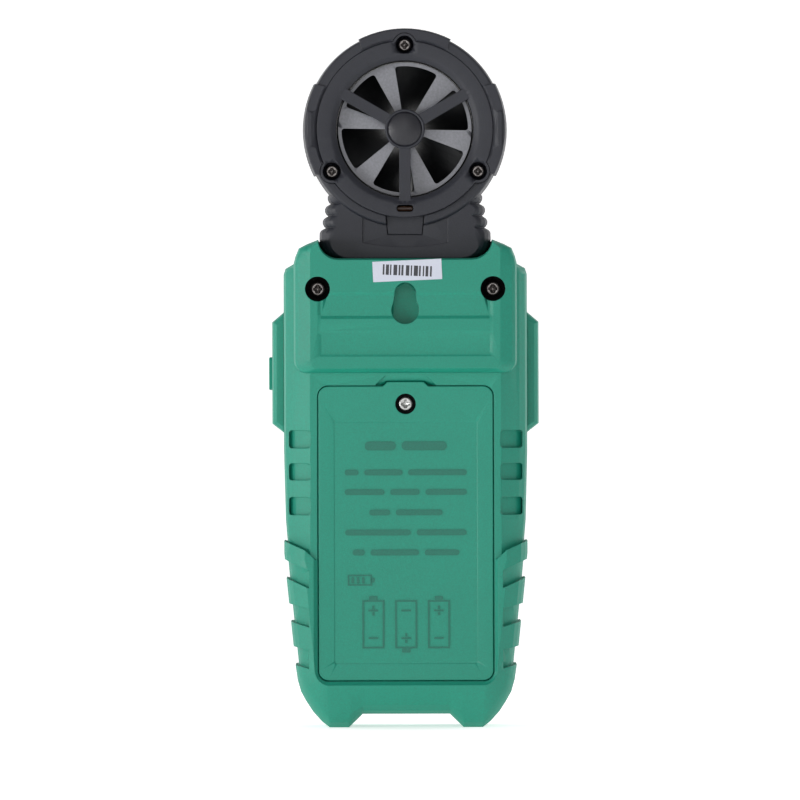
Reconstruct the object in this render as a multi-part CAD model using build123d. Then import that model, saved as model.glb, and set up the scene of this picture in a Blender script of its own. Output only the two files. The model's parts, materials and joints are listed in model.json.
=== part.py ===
"""Handheld vane anemometer (weather meter), standing upright with its display towards -Y.

Frame: +Z along the long axis, towards the vane head; +Y out of the back; +X to the right of
someone who looks at the display. The origin is under the middle of the meter, on the plane that
its two feet stand on. All sizes are in millimetres.
"""

from build123d import *
import math
import os

# ---------------------------------------------------------------- overall sizes and fits
TOTAL_H = 203.4          # feet to the top of the head
DEPTH = 43.0             # front keys to the raised block on the back
HALF_W = 35.33           # half width of the case at its flanks
WALL = 2.2               # case wall
GAP = 0.3                # between pieces that move past each other
SEAT = 0.1               # between pieces that are screwed or dropped together
RUN_FIT = 0.03           # radial, shaft in its bearings

# levels along Y
BLOCK_Y = DEPTH / 2              # back of the raised block
KEY_TOP_Y = -DEPTH / 2           # tops of the front keys
BACK_Y = BLOCK_Y - 3.0           # back of the case around the battery door
BOOT_Y = BACK_Y + 1.1            # back of the boot
FACE_Y = KEY_TOP_Y + 0.8         # front of the case

# ---------------------------------------------------------------- case outline
BOOT_TOP_Z = 54.2
FLANK_TAPER_Z = 80.0             # the flanks lean in a little below this height
BLOCK_BOTTOM_Z = 102.8
SCOOP_Z = 136.1                  # floor of the scoop that the neck stands in
SCOOP_FLAT_HALF_W = 19.4
SCOOP_R = 5.9
APEX_X = 25.24                   # the case's highest points, each side of the scoop
APEX_Z = SCOOP_Z + 5.4
BLOCK_HALF_W = HALF_W - 3.0
FLAT_HALF_W = HALF_W - 7.6       # flat middle of the back
BLOCK_CORNER_R = 3.7
FOOT_NOTCH_Z = 3.9
CROWN_BOTTOM_Z = 12.3

# boot outline as (step in from the flank, height), and where each point ends on its flat back
BOOT_SIDE = ((0.0, BOOT_TOP_Z), (0.0, 50.7), (0.7, 42.9), (1.9, 31.0), (3.2, 18.2), (3.8, 13.9),
             (4.8, 10.4), (6.4, 7.5), (8.3, 4.6), (10.9, 1.7), (13.1, 0.0), (18.7, 0.0),
             (22.7, FOOT_NOTCH_Z))
BOOT_CROWN = ((6.0, 51.6), (6.0, 48.6), (6.5, 41.6), (7.5, 30.2), (8.6, 19.6), (9.2, 16.6),
              (10.0, 14.6), (10.8, 13.5), (11.5, 12.9), (12.0, 12.5), (12.4, CROWN_BOTTOM_Z),
              (18.7, CROWN_BOTTOM_Z), (22.7, CROWN_BOTTOM_Z))
GROOVE_DEPTH = 1.0
GROOVE_INNER = 7.2               # inner end of a groove, in from the flank
GROOVES = ((48.9, 43.7, 45.6, 40.5), (36.4, 31.5, 34.5, 29.2), (24.2, 19.1, 22.6, 17.2))
TROUGH_GAP = 0.2                 # from the door's gap to the foot of the boot's border
TROUGH_SLOPE = 1.3
GRIP_WINDOWS = ((86.3, 81.1), (76.7, 71.8), (66.9, 61.7))
GRIP_WINDOW_W = 6.3
GRIP_WINDOW_IN = 4.65            # its middle, in from the flank
GRIP_DEPTH = 0.9

# wings on the front case
WING_OUT = 3.45
WING_Z = (85.5, 88.2, 117.7, 120.65)
WING_Y = (-15.0, 6.0)
WING_WALL = 1.2

# side key and its switch
SIDE_KEY_Z = 102.8
SIDE_KEY_Y = -4.0
SIDE_KEY_H = 9.6
SIDE_KEY_W = 5.0
SIDE_KEY_PROUD = 1.0
SIDE_KEY_TRAVEL = 0.7
KEY_FLANGE = 0.8                 # rim that keeps a key inside its opening
SIDE_FLANGE_T = 1.1
SWITCH_GAP = 0.4                 # left between a pressed key and its switch

# ---------------------------------------------------------------- battery door and bay
DOOR_HALF_W = 25.3
DOOR_Z0 = 13.76
DOOR_Z1 = 98.98
DOOR_R = 2.9
DOOR_T = 2.0
DOOR_GAP = 0.3
DOOR_SEAT = 0.15
DOOR_UNDER_Y = BACK_Y - DOOR_T
TAB_BASE_HALF_W = 6.6
TAB_TOP_HALF_W = 5.24
TAB_H = 1.3
DOOR_PANEL_HALF_W = 20.9
DOOR_PANEL_Z = (18.4, 89.1)
DOOR_PANEL_DEPTH = 0.25
LEDGE_T = 2.2
LUG_X = 14.0
LUG_W = 6.0
LUG_REACH = 3.1                  # below the door's lower edge
LUG_ROOT = 3.7                   # up along the door's inner side
LUG_T = 1.2
HINGE_Z = DOOR_Z0 - 0.16
LUG_SWING = math.hypot(DOOR_T + LUG_T, DOOR_Z0 - HINGE_Z - LUG_REACH) + GAP
DOOR_SCREW_Z = DOOR_Z1 - 5.1
DOOR_RECESS_R = 2.97
DOOR_BOSS_R = 4.2
DOOR_BOSS_H = 0.7
DOOR_SCREW_HEAD_R = 2.0
INSERT_R = 2.2
INSERT_BORE_R = 1.25
INSERT_L = 4.0
INSERT_TOP_Y = DOOR_UNDER_Y - DOOR_BOSS_H - GAP
NOTCH_BASE_HALF_W = 8.8
NOTCH_TOP_HALF_W = 5.76
NOTCH_H = 3.3
NOTCH_DEPTH = 1.6

CELL_R = 5.2
CELL_L = 44.5
NUB_R = 1.9
NUB_L = 0.9
CELL_PITCH = 2 * CELL_R + 0.8
SPRING_L = 6.0
SPRING_R = 3.2
SPRING_WIRE_R = 0.3
SPRING_TURNS = 5
CONTACT_T = 0.4
CONTACT_W = 8.0
BAY_WALL = 1.5
BAY_Z0 = 24.0
BAY_Z1 = BAY_Z0 + 2 * CONTACT_T + SPRING_L + CELL_L + 2 * SEAT
BAY_HALF_W = CELL_PITCH + CELL_R + 0.4
PAD_T = 0.4
CELL_Y = DOOR_UNDER_Y - PAD_T - 0.4 - CELL_R
BAY_FLOOR_Y = CELL_Y - CELL_R - 0.2

# ---------------------------------------------------------------- fasteners
CASE_SCREW_X = 25.4
CASE_SCREW_Z = 127.2
CASE_RECESS_R = 3.6
CASE_RECESS_D = 7.0
LOWER_SCREW_X = 21.0
LOWER_SCREW_Z = 21.0
LOWER_RECESS_D = 2.5
LOWER_RECESS_R = 2.6
BOSS_WALL = 1.4
SCREW_R = 1.1
SCREW_HEAD_R = 2.15
SCREW_HEAD_H = 1.7
SCREW_BITE = 12.0                # length of a case screw inside the front case
PILOT_PLAY = 0.05
RING_SCREW_PCR = 24.5
RING_RECESS_R = 2.65
RING_RECESS_D = 5.0
RING_BOSS_R = 3.4
RING_SCREW_ANGLES = (90, 210, 330)
RING_SCREW_HEAD_R = 1.9
RING_SCREW_SHANK_R = 0.9
BOARD_SCREW_X = 25.2
BOARD_SCREW_Z = (33.0, 79.0)

# ---------------------------------------------------------------- back of the block
KEYHOLE_Z = 121.0
KEYHOLE_R = 4.0
KEYHOLE_SLOT_R = 3.12
KEYHOLE_SLOT_Z = 125.9
KEYHOLE_DEPTH = 5.0
CUP_WALL = 1.6
PANELS = ((118.5, 126.2), (107.6, 115.1))
PANEL_HALF_W = 25.5
PANEL_DEPTH = 0.6
PANEL_SLOPE = 0.9
LABEL_SIZE = (20.0, 5.9)
LABEL_T = 0.12
LABEL_TILT = -2.5

# ---------------------------------------------------------------- head and neck
BUMP_R = 29.75                   # the head's outer pads, where its halves meet
HEAD_R = 29.15
HEAD_DRAFT = 0.65                # both are this much smaller at their faces
BUMP_IN_R = 26.3
HEAD_Z = TOTAL_H - BUMP_R
HEAD_REAR_Y = 14.0
BUMP_Y = HEAD_REAR_Y + 0.35
RIM_Y = 13.9
LOW_RIM_Y = 12.3
HEAD_FRONT_Y = -12.0
BUMP_ANGLES = (0, 90, 180)
BUMP_HALF_ANGLE = 28.5
RING_OUT_R = 25.6
RING_IN_R = 20.0
FRONT_IN_R = 18.8                # the front guard hides the gap around the rotor
RING_CHAMFER_R = 21.9
RING_LIP_T = 1.0
NECK_Y = 11.5
NECK_HALF_W = 24.9
RIBS = ((24.9, SCOOP_Z + 5.4, SCOOP_Z + 8.8), (24.0, SCOOP_Z + 8.8, SCOOP_Z + 12.3),
        (23.35, SCOOP_Z + 12.3, SCOOP_Z + 15.8), (22.55, SCOOP_Z + 15.8, SCOOP_Z + 19.4))
PLUG_HALF_W = 17.0
PLUG_HALF_T = 9.0
PLUG_FLANGE = 2.0
PLUG_L = 10.0
NECK_WALL = 2.0
PANEL_NECK_HALF_W = 12.4
PANEL_NECK_DEPTH = 0.5
TAB_NECK_Z = (HEAD_Z - 30.5, HEAD_Z - 22.9)
TAB_NECK_HALF_W = (4.85, 5.55)
TAB_NECK_T = 1.1
SLOT_R = 23.0
SLOT_W = 4.9
SLOT_H = 2.0

# ---------------------------------------------------------------- rotor and duct
ROTOR_R = 19.4
ROTOR_RING_W = 1.0
SHROUD_T = 0.8
WINDOW_IN_R = 5.3
ROTOR_LAND_Y = 9.2
ROTOR_FRONT_Y = -3.0
ROTOR_HUB_R = 4.4
LAND_T = 0.8
BLADES = 6
LAND_ANGLE = 20
BLADE_SWEEP = 52
BLADE_T = 0.8
FIRST_LAND_ANGLE = 71
DUCT_R = ROTOR_R + 0.5
DUCT_T = 1.1
BORE_R = DUCT_R + DUCT_T + 0.05
SHAFT_R = 0.75
BEARING_R = 2.0
BEARING_L = 2.0
HUB_R = 5.8
HUB_Y = (10.4, 13.4)
CAP_R = 4.9
CAP_TOP_Y = 14.6
STRUT_W = 3.3
STRUT_Y = (11.7, 13.2)
STRUT_ANGLES = (30, 150, 270)
FRONT_HUB_L = 3.4
FRONT_STRUT_T = 2.2
MAGNET_R = 0.8
MAGNET_L = 0.7

# ---------------------------------------------------------------- display, keys and electronics
FASCIA_HALF_W = 28.5
FASCIA_Z = (24.0, 128.0)
FASCIA_R = 4.0
FASCIA_T = 0.6
LENS_W = 48.0
LENS_H = 33.0
LENS_Z = 103.0
LENS_T = 1.2
LCD_RIM = 2.0
LCD_T = 1.8
LCD_GAP = 0.2
BOARD_T = 1.2
BOARD_Y = -12.0                  # its back
BOARD_HALF_W = 28.5
BOARD_Z = (28.0, 121.0)
KEY_W = 12.5
KEY_H = 8.0
KEY_R = 2.2
KEY_X = 17.5
KEY_ROWS = (68.0, 50.0)
KEY_NAMES = (("key_mode", "key_hold", "key_max_min"), ("key_unit", "key_power", "key_light"))
KEY_TRAVEL = 0.7
KEY_FLANGE_T = 0.8


# ---------------------------------------------------------------- helpers
def mirrored(half):
    """Closed outline from the points of its +X half, given from top to bottom."""
    return list(half) + [(-x, z) for x, z in reversed(half)]


def at_y(sketch, y0, y1):
    """Solid of a sketch drawn in (x, z), from y0 to y1."""
    return extrude(Plane.XZ.offset(-y0) * sketch, amount=-(y1 - y0))


def outline_solid(points, y0, y1):
    """Prism of a closed outline given in (x, z), from y0 to y1."""
    return at_y(make_face(Polyline(*points, close=True)), y0, y1)


def box_between(x0, x1, y0, y1, z0, z1):
    """Box between two corners."""
    return Pos((x0 + x1) / 2, (y0 + y1) / 2, (z0 + z1) / 2) * Box(x1 - x0, y1 - y0, z1 - z0)


def rod_y(x, z, r, y0, y1):
    """Round rod along Y."""
    return at_y(Pos(x, z) * Circle(r), y0, y1)


def rod_x(y, z, r, x0, x1):
    """Round rod along X."""
    return extrude(Plane.YZ.offset(x0) * (Pos(y, z) * Circle(r)), amount=x1 - x0)


def rod_z(x, y, r, z0, z1):
    """Round rod along Z."""
    return Pos(x, y, (z0 + z1) / 2) * Cylinder(r, z1 - z0)


def pad_y(x, z, w, h, r, y0, y1):
    """Plate with rounded corners, centred on (x, z), from y0 to y1."""
    return at_y(Pos(x, z) * RectangleRounded(w, h, r), y0, y1)


def domed(silhouette, crown, levels):
    """Solid that goes through (y, share) levels between a silhouette and its crown."""
    wires = []
    for y, share in levels:
        points = [Vector(a[0] + (b[0] - a[0]) * share, y, a[1] + (b[1] - a[1]) * share)
                  for a, b in zip(silhouette, crown)]
        wires.append(Wire.make_polygon(points, close=True))
    return Solid.make_loft(wires, ruled=True)


def lowered(levels, drop):
    """The same levels, nearer to the middle of the case by drop, keeping the first."""
    sign = 1 if levels[-1][0] > 0 else -1
    return [levels[0]] + [(y - sign * drop, share) for y, share in levels[1:]]


def moved_in(points, distance):
    """Closed outline moved inwards by a distance, corner by corner."""
    area = sum(p[0] * q[1] - q[0] * p[1] for p, q in zip(points, points[1:] + points[:1]))
    side = 1 if area > 0 else -1
    result = []
    for i, p in enumerate(points):
        before = points[i - 1]
        after = points[(i + 1) % len(points)]
        d1 = Vector(p[0] - before[0], p[1] - before[1]).normalized()
        d2 = Vector(after[0] - p[0], after[1] - p[1]).normalized()
        n1 = Vector(-d1.Y, d1.X) * side
        n2 = Vector(-d2.Y, d2.X) * side
        miter = (n1 + n2) / (1 + n1.dot(n2))
        result.append((p[0] + miter.X * distance, p[1] + miter.Y * distance))
    return result


def arc_points(cx, cz, r, start, end, count):
    """Points on an arc, angles in degrees."""
    angles = [math.radians(start + (end - start) * i / (count - 1)) for i in range(count)]
    return [(cx + r * math.cos(a), cz + r * math.sin(a)) for a in angles]


def on_head(r, angle):
    """(x, z) of a point on the head, from its radius and angle about the rotor axis."""
    return arc_points(0, HEAD_Z, r, angle, angle, 2)[0]


def ring_y(outer, inner, y0, y1):
    """Ring about the rotor axis."""
    return at_y(Pos(0, HEAD_Z) * (Circle(outer) - Circle(inner)), y0, y1)


def screw_y(x, z, seat_y, tip_y, head_r, head_h, shank_r):
    """Cross-recessed pan-head screw that is driven from +Y."""
    head = rod_y(x, z, head_r, seat_y, seat_y + head_h)
    rim = head.edges().filter_by(GeomType.CIRCLE).sort_by(Axis.Y)[-1]
    head = fillet(rim, head_h * 0.45)
    arm = head_r * 0.62
    slot = head_r * 0.17
    depth = head_h * 0.6
    for dx, dz in ((arm, slot), (slot, arm)):
        head = head - box_between(x - dx, x + dx, seat_y + head_h - depth, seat_y + head_h + 1, z - dz, z + dz)
    return head + rod_y(x, z, shank_r, tip_y, seat_y)


def tube_along(points, r, bend):
    """Round wire along straight runs joined by arcs."""
    path = FilletPolyline(*points, radius=bend)
    start = Plane(origin=path @ 0, z_dir=path % 0)
    return sweep(start * Circle(r), path=path)


def joined(solids):
    """One compound of separate solids."""
    return Compound(children=[s for shape in solids for s in shape.solids()])


# ---------------------------------------------------------------- case outlines
def scoop_half(drop=0.0):
    """+X half of the top edge of the case: scoop, apex and shoulder."""
    scoop = arc_points(SCOOP_FLAT_HALF_W, SCOOP_Z + SCOOP_R, SCOOP_R, -90, -12, 7)
    shoulder = [(APEX_X, APEX_Z), (HALF_W - 6.8, APEX_Z - 1.3), (HALF_W - 4.5, APEX_Z - 2.5),
                (HALF_W - 3.5, APEX_Z - 4.9), (BLOCK_HALF_W, APEX_Z - 6.9)]
    return [(x, z - drop) for x, z in scoop + shoulder]


def flank_silhouette():
    """Outline of the case between its scoop and the boot."""
    flank = [(HALF_W - 0.55, APEX_Z - 8.3), (HALF_W, APEX_Z - 10.0), (HALF_W, FLANK_TAPER_Z),
             (HALF_W - 0.5, BOOT_TOP_Z + 6), (HALF_W - 1.0, BOOT_TOP_Z), (HALF_W - 2.5, BOOT_TOP_Z - 14)]
    return mirrored(scoop_half() + flank)


def flank_crown(inset=0.0):
    """Edge of the flat back of the case, point for point with flank_silhouette."""
    flat = FLAT_HALF_W - inset
    return [(math.copysign(min(abs(x), flat), x), z) for x, z in flank_silhouette()]


def block_silhouette():
    """Outline of the raised block."""
    r = BLOCK_CORNER_R
    corner = arc_points(BLOCK_HALF_W - r, BLOCK_BOTTOM_Z + r, r, 0, -90, 6)
    return mirrored(scoop_half() + corner)


def block_crown():
    """Edge of the flat back of the block, point for point with block_silhouette."""
    flat = FLAT_HALF_W - 0.2
    bevel = 1.4
    corner_r = 2.0
    top = [(min(x, flat), z - (0.8 if x > APEX_X + 1 else 0)) for x, z in scoop_half(0.5)]
    corner = arc_points(flat - corner_r, BLOCK_BOTTOM_Z + bevel + corner_r, corner_r, 0, -90, 6)
    return mirrored(top + corner)


def boot_silhouette():
    """Outline of the boot with its two feet."""
    return mirrored([(HALF_W - 8.9, BOOT_TOP_Z - 4.9)] + [(HALF_W - step, z) for step, z in BOOT_SIDE])


def boot_crown():
    """Edge of the flat back of the boot, point for point with boot_silhouette."""
    return mirrored([(HALF_W - 9.2, BOOT_TOP_Z - 5.6)] + [(HALF_W - step, z) for step, z in BOOT_CROWN])


def hollow_half(share_of_crown):
    """+X half of the hollow inside the case, at its silhouette (0) or its crown (1)."""
    top = SCOOP_Z - WALL
    half = [(HALF_W - WALL - 3.0, top), (HALF_W - WALL, top - 3.0), (HALF_W - WALL, BOOT_TOP_Z + 4)]
    half += [(HALF_W - step - WALL - GROOVE_DEPTH, z) for step, z in BOOT_SIDE[1:6]]
    half += [(HALF_W - 12.0, FOOT_NOTCH_Z + WALL)]
    if share_of_crown:
        flat = FLAT_HALF_W - 0.8
        half = [(min(x, flat), z) for x, z in half[:-2]]
        half += [(HALF_W - 10.5, CROWN_BOTTOM_Z + 4.0), (HALF_W - 12.5, CROWN_BOTTOM_Z + 3.0)]
    return half


def case_hollow(levels):
    """The space inside one half of the case."""
    return domed(mirrored(hollow_half(0)), mirrored(hollow_half(1)), lowered(levels, WALL))


FLANK_REAR = ((0, 0), (BACK_Y - 7.5, 0), (BACK_Y - 5.5, 0.08), (BACK_Y - 3.8, 0.30), (BACK_Y, 1))
BLOCK_REAR = ((2, 0), (BLOCK_Y - 3.5, 0), (BLOCK_Y - 2.1, 0.1), (BLOCK_Y - 1.3, 0.3), (BLOCK_Y, 1))
BOOT_REAR = ((0, 0), (BOOT_Y - 7.1, 0), (BOOT_Y - 4.8, 0.12), (BOOT_Y - 3.0, 0.32), (BOOT_Y, 1))
FRONT = ((0, 0), (FACE_Y + 7.0, 0), (FACE_Y + 4.0, 0.06), (FACE_Y + 1.6, 0.22), (FACE_Y + 0.4, 0.42),
         (FACE_Y, 0.6))


def groove_bands():
    """Slanted bands where the boot's grooves run, on both sides."""
    bands = []
    for outer_top, outer_bottom, inner_top, inner_bottom in GROOVES:
        rise = 3 / GROOVE_INNER * (outer_top - inner_top)
        for side in (1, -1):
            inner = side * (HALF_W - GROOVE_INNER)
            outer = side * (HALF_W + 3)
            bands.append(outline_solid([(inner, inner_top), (outer, outer_top + rise),
                                        (outer, outer_bottom + rise), (inner, inner_bottom)], -DEPTH, DEPTH))
    return bands


def grooved_boot(levels):
    """Boot with its grooves, for the half of the case that the levels describe."""
    boot = domed(boot_silhouette(), boot_crown(), levels)
    core = domed(moved_in(boot_silhouette(), GROOVE_DEPTH), moved_in(boot_crown(), GROOVE_DEPTH),
                 lowered(levels, GROOVE_DEPTH))
    for band in groove_bands():
        boot = boot - (band - core)
    return boot


def windowed_flank(levels, side_y):
    """Flanks with their grip windows, cut to an even depth."""
    flank = domed(flank_silhouette(), flank_crown(), levels)
    core = domed(moved_in(flank_silhouette(), GRIP_DEPTH), moved_in(flank_crown(), GRIP_DEPTH),
                 lowered(levels, GRIP_DEPTH))
    for top, bottom in GRIP_WINDOWS:
        for side in (1, -1):
            window = pad_y(side * (HALF_W - GRIP_WINDOW_IN), (top + bottom) / 2, GRIP_WINDOW_W, top - bottom,
                           0.8, side_y, math.copysign(DEPTH, side_y))
            flank = flank - (window - core)
    return flank


# ---------------------------------------------------------------- shapes that two pieces share
def door_tab(grow, y0, y1):
    """Tab on the upper edge of the battery door, grown for its opening."""
    base = TAB_BASE_HALF_W + grow
    top = TAB_TOP_HALF_W + grow
    high = DOOR_Z1 + TAB_H + grow
    return outline_solid([(-base, DOOR_Z1 - 3), (base, DOOR_Z1 - 3), (base, DOOR_Z1), (top, high), (-top, high),
                          (-base, DOOR_Z1)], y0, y1)


def door_outline(grow, y0, y1):
    """Battery door without its tab, grown for its opening."""
    return pad_y(0, (DOOR_Z0 + DOOR_Z1) / 2, 2 * (DOOR_HALF_W + grow), DOOR_Z1 - DOOR_Z0 + 2 * grow,
                 DOOR_R + grow, y0, y1)


def finger_notch():
    """Space for a fingertip above the door's tab, deeper towards the door."""
    z0 = DOOR_Z1 - 1
    z1 = DOOR_Z1 + NOTCH_H
    base = NOTCH_BASE_HALF_W
    corners = [(-base, z0), (base, z0), (base, DOOR_Z1 + 0.4), (NOTCH_TOP_HALF_W, z1), (-NOTCH_TOP_HALF_W, z1),
               (-base, DOOR_Z1 + 0.4)]
    plan = outline_solid(corners, BACK_Y - NOTCH_DEPTH * 2, BACK_Y + 0.5)
    deep = BACK_Y - NOTCH_DEPTH
    section = make_face(Polyline((BACK_Y + 0.6, z1 + 1), (BACK_Y + 0.6, z0 - 1), (deep, z0 - 1), (deep, DOOR_Z1),
                                 (BACK_Y, z1), close=True))
    wedge = extrude(Plane.YZ.offset(-base - 1) * section, amount=2 * base + 2)
    return plan & wedge


def keyhole(grow, y0, y1):
    """Keyhole for hanging the meter, grown for the cup behind it."""
    shape = Pos(0, KEYHOLE_Z) * Circle(KEYHOLE_R + grow)
    shape = shape + Pos(0, KEYHOLE_SLOT_Z) * Circle(KEYHOLE_SLOT_R + grow)
    height = KEYHOLE_SLOT_Z - KEYHOLE_Z
    shape = shape + Pos(0, KEYHOLE_Z + height / 2) * Rectangle(2 * (KEYHOLE_SLOT_R + grow), height)
    return at_y(shape, y0, y1)


def sunk_panel(half_w, z0, z1, depth, slope, face_y):
    """Shallow recess with sloped walls in a face at face_y."""
    place = Pos(0, (z0 + z1) / 2)
    top = Plane.XZ.offset(-face_y - 0.01) * (place * RectangleRounded(2 * half_w, z1 - z0, 1.0))
    floor = Plane.XZ.offset(-(face_y - depth)) * (
        place * RectangleRounded(2 * (half_w - slope), z1 - z0 - 2 * slope, 0.4))
    return loft([floor, top], ruled=True)


def wing_outline(inset):
    """Outline of the +X wing, moved in by a wall."""
    out = HALF_W + WING_OUT - inset
    root = HALF_W - 4
    low, low_out, high_out, high = WING_Z
    return [(root, low + inset - 1.2), (HALF_W, low + inset), (out, low_out + inset), (out, high_out - inset),
            (HALF_W, high - inset), (root, high - inset + 1.2)]


# ---------------------------------------------------------------- case halves
def make_rear_case():
    """Rear shell: flanks, raised block, boot, battery bay and screw bosses."""
    boot = grooved_boot(BOOT_REAR)
    foot = DOOR_HALF_W + DOOR_GAP + TROUGH_GAP
    low = DOOR_Z0 - DOOR_GAP - TROUGH_GAP
    sections = []
    for y, grow in ((BACK_Y, 0), (BOOT_Y + 0.4, TROUGH_SLOPE)):
        place = Pos(0, (low + BLOCK_BOTTOM_Z) / 2)
        height = BLOCK_BOTTOM_Z - low + 2 * grow
        section = RectangleRounded(2 * (foot + grow), height, DOOR_R + DOOR_GAP + grow)
        sections.append(Plane.XZ.offset(-y) * (place * section))
    boot = boot - loft(sections, ruled=True)
    outer = windowed_flank(FLANK_REAR, 5) + domed(block_silhouette(), block_crown(), BLOCK_REAR) + boot

    hollow = case_hollow(FLANK_REAR)
    hollow = hollow + box_between(WALL - FLAT_HALF_W, FLAT_HALF_W - WALL, 1, BLOCK_Y - WALL,
                                  BLOCK_BOTTOM_Z + WALL, SCOOP_Z - WALL)
    ledge_w = DOOR_HALF_W + DOOR_GAP + LEDGE_T
    tray_w = BAY_HALF_W + BAY_WALL
    kept = [
        box_between(-ledge_w, ledge_w, DOOR_UNDER_Y - LEDGE_T, DEPTH, 0, DOOR_Z1 + TAB_H + LEDGE_T),
        box_between(-tray_w, tray_w, BAY_FLOOR_Y - BAY_WALL, DEPTH, BAY_Z0 - BAY_WALL, BAY_Z1 + BAY_WALL),
        keyhole(CUP_WALL, BLOCK_Y - KEYHOLE_DEPTH - CUP_WALL, DEPTH),
        rod_y(0, DOOR_SCREW_Z, INSERT_R + CUP_WALL, INSERT_TOP_Y - INSERT_L - 1, DEPTH),
    ]
    for side in (1, -1):
        kept.append(rod_y(side * CASE_SCREW_X, CASE_SCREW_Z, CASE_RECESS_R + BOSS_WALL, 0, DEPTH))
        kept.append(rod_y(side * LOWER_SCREW_X, LOWER_SCREW_Z, LOWER_RECESS_R + BOSS_WALL, 0, DEPTH))
    for solid in kept:
        hollow = hollow - solid
    case = outer - hollow

    cuts = [
        door_outline(DOOR_GAP, DOOR_UNDER_Y - DOOR_SEAT, DEPTH),
        door_tab(DOOR_GAP, DOOR_UNDER_Y - DOOR_SEAT, BACK_Y + 0.5),
        finger_notch(),
        box_between(-BAY_HALF_W, BAY_HALF_W, BAY_FLOOR_Y, DEPTH, BAY_Z0, BAY_Z1),
        rod_y(0, DOOR_SCREW_Z, DOOR_BOSS_R + GAP, INSERT_TOP_Y, BACK_Y),
        rod_y(0, DOOR_SCREW_Z, INSERT_R, INSERT_TOP_Y - INSERT_L, BACK_Y),
        keyhole(0, BLOCK_Y - KEYHOLE_DEPTH, DEPTH),
        box_between(-PLUG_HALF_W - SEAT, PLUG_HALF_W + SEAT, -1, PLUG_HALF_T + SEAT,
                    SCOOP_Z - WALL - 1, SCOOP_Z + 1),
    ]
    lug_half = LUG_W / 2 + GAP
    for side in (1, -1):
        x = side * CASE_SCREW_X
        cuts.append(rod_y(x, CASE_SCREW_Z, CASE_RECESS_R, BLOCK_Y - CASE_RECESS_D, DEPTH))
        cuts.append(rod_y(x, CASE_SCREW_Z, SCREW_R + SEAT, -1, DEPTH))
        x = side * LOWER_SCREW_X
        cuts.append(rod_y(x, LOWER_SCREW_Z, LOWER_RECESS_R, DOOR_UNDER_Y - LOWER_RECESS_D, DEPTH))
        cuts.append(rod_y(x, LOWER_SCREW_Z, SCREW_R + SEAT, -1, DEPTH))
        x = side * LUG_X
        cuts.append(box_between(x - lug_half, x + lug_half, BACK_Y - LUG_SWING, DOOR_UNDER_Y + 0.4,
                                DOOR_Z0 - LUG_REACH - GAP, DOOR_Z0 + LUG_ROOT + 1.1))
        x = side * CELL_PITCH
        cuts.append(box_between(x - 1.6, x + 1.6, BAY_FLOOR_Y - BAY_WALL - 1, BAY_FLOOR_Y + 1,
                                BAY_Z1 - 0.6, BAY_Z1))
    for z0, z1 in PANELS:
        cuts.append(sunk_panel(PANEL_HALF_W, z0, z1, PANEL_DEPTH, PANEL_SLOPE, BLOCK_Y))
    for cut in cuts:
        case = case - cut
    return case


def make_front_case():
    """Front shell with the two wings, the display opening, key openings and screw bosses."""
    outer = domed(flank_silhouette(), flank_crown(), FRONT) + grooved_boot(FRONT)
    hollow = case_hollow(FRONT)
    wing_levels = ((WING_Y[0], 1), (WING_Y[0] + 1.2, 0.3), (WING_Y[0] + 3, 0), (WING_Y[1] - 2.4, 0),
                   (WING_Y[1] - 0.9, 0.3), (WING_Y[1], 1))
    wing = domed(wing_outline(0), moved_in(wing_outline(0), 1.3), wing_levels)
    wing = wing - box_between(0, HALF_W + SEAT, 0, DEPTH, 0, TOTAL_H)
    wing = wing & box_between(HALF_W - 1.5, 2 * HALF_W, -DEPTH, DEPTH, 0, TOTAL_H)
    outer = outer + wing + mirror(wing, about=Plane.YZ)

    bosses = []
    for side in (1, -1):
        bosses.append(rod_y(side * CASE_SCREW_X, CASE_SCREW_Z, SCREW_R + 2.2, -DEPTH, 0))
        bosses.append(rod_y(side * LOWER_SCREW_X, LOWER_SCREW_Z, SCREW_R + 2.2, -DEPTH, 0))
        for z in BOARD_SCREW_Z:
            bosses.append(rod_y(side * BOARD_SCREW_X, z, 2.2, -DEPTH, BOARD_Y - BOARD_T - 0.05))
    for boss in bosses:
        hollow = hollow - boss
    case = outer - hollow

    seat_z = (FASCIA_Z[0] + FASCIA_Z[1]) / 2
    cuts = [
        pad_y(0, seat_z, 2 * (FASCIA_HALF_W + SEAT), FASCIA_Z[1] - FASCIA_Z[0] + 2 * SEAT, FASCIA_R,
              -DEPTH, FACE_Y + FASCIA_T),
        pad_y(0, LENS_Z, LENS_W + 2 * SEAT, LENS_H + 2 * SEAT, 2.0, -DEPTH, FACE_Y + SEAT + LENS_T),
        pad_y(0, LENS_Z, LENS_W - 4, LENS_H - 4, 1.5, -DEPTH, 0),
        box_between(-PLUG_HALF_W - SEAT, PLUG_HALF_W + SEAT, -PLUG_HALF_T - SEAT, 1,
                    SCOOP_Z - WALL - 1, SCOOP_Z + 1),
        side_key_pocket(),
        side_key_slab(GAP, HALF_W, DEPTH),
    ]
    for row, z in zip(KEY_NAMES, KEY_ROWS):
        for column in range(len(row)):
            cuts.append(key_pad(column, z, GAP, -DEPTH, FACE_Y + WALL + 1))
    for side in (1, -1):
        cuts.append(rod_y(side * CASE_SCREW_X, CASE_SCREW_Z, SCREW_R + PILOT_PLAY, -SCREW_BITE - 0.5, 1))
        cuts.append(rod_y(side * LOWER_SCREW_X, LOWER_SCREW_Z, SCREW_R + PILOT_PLAY, -SCREW_BITE - 0.5, 1))
        for z in BOARD_SCREW_Z:
            pilot_r = RING_SCREW_SHANK_R + PILOT_PLAY
            cuts.append(rod_y(side * BOARD_SCREW_X, z, pilot_r, BOARD_Y - 4.6, BOARD_Y))
    for cut in cuts:
        case = case - cut
    return case


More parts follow.
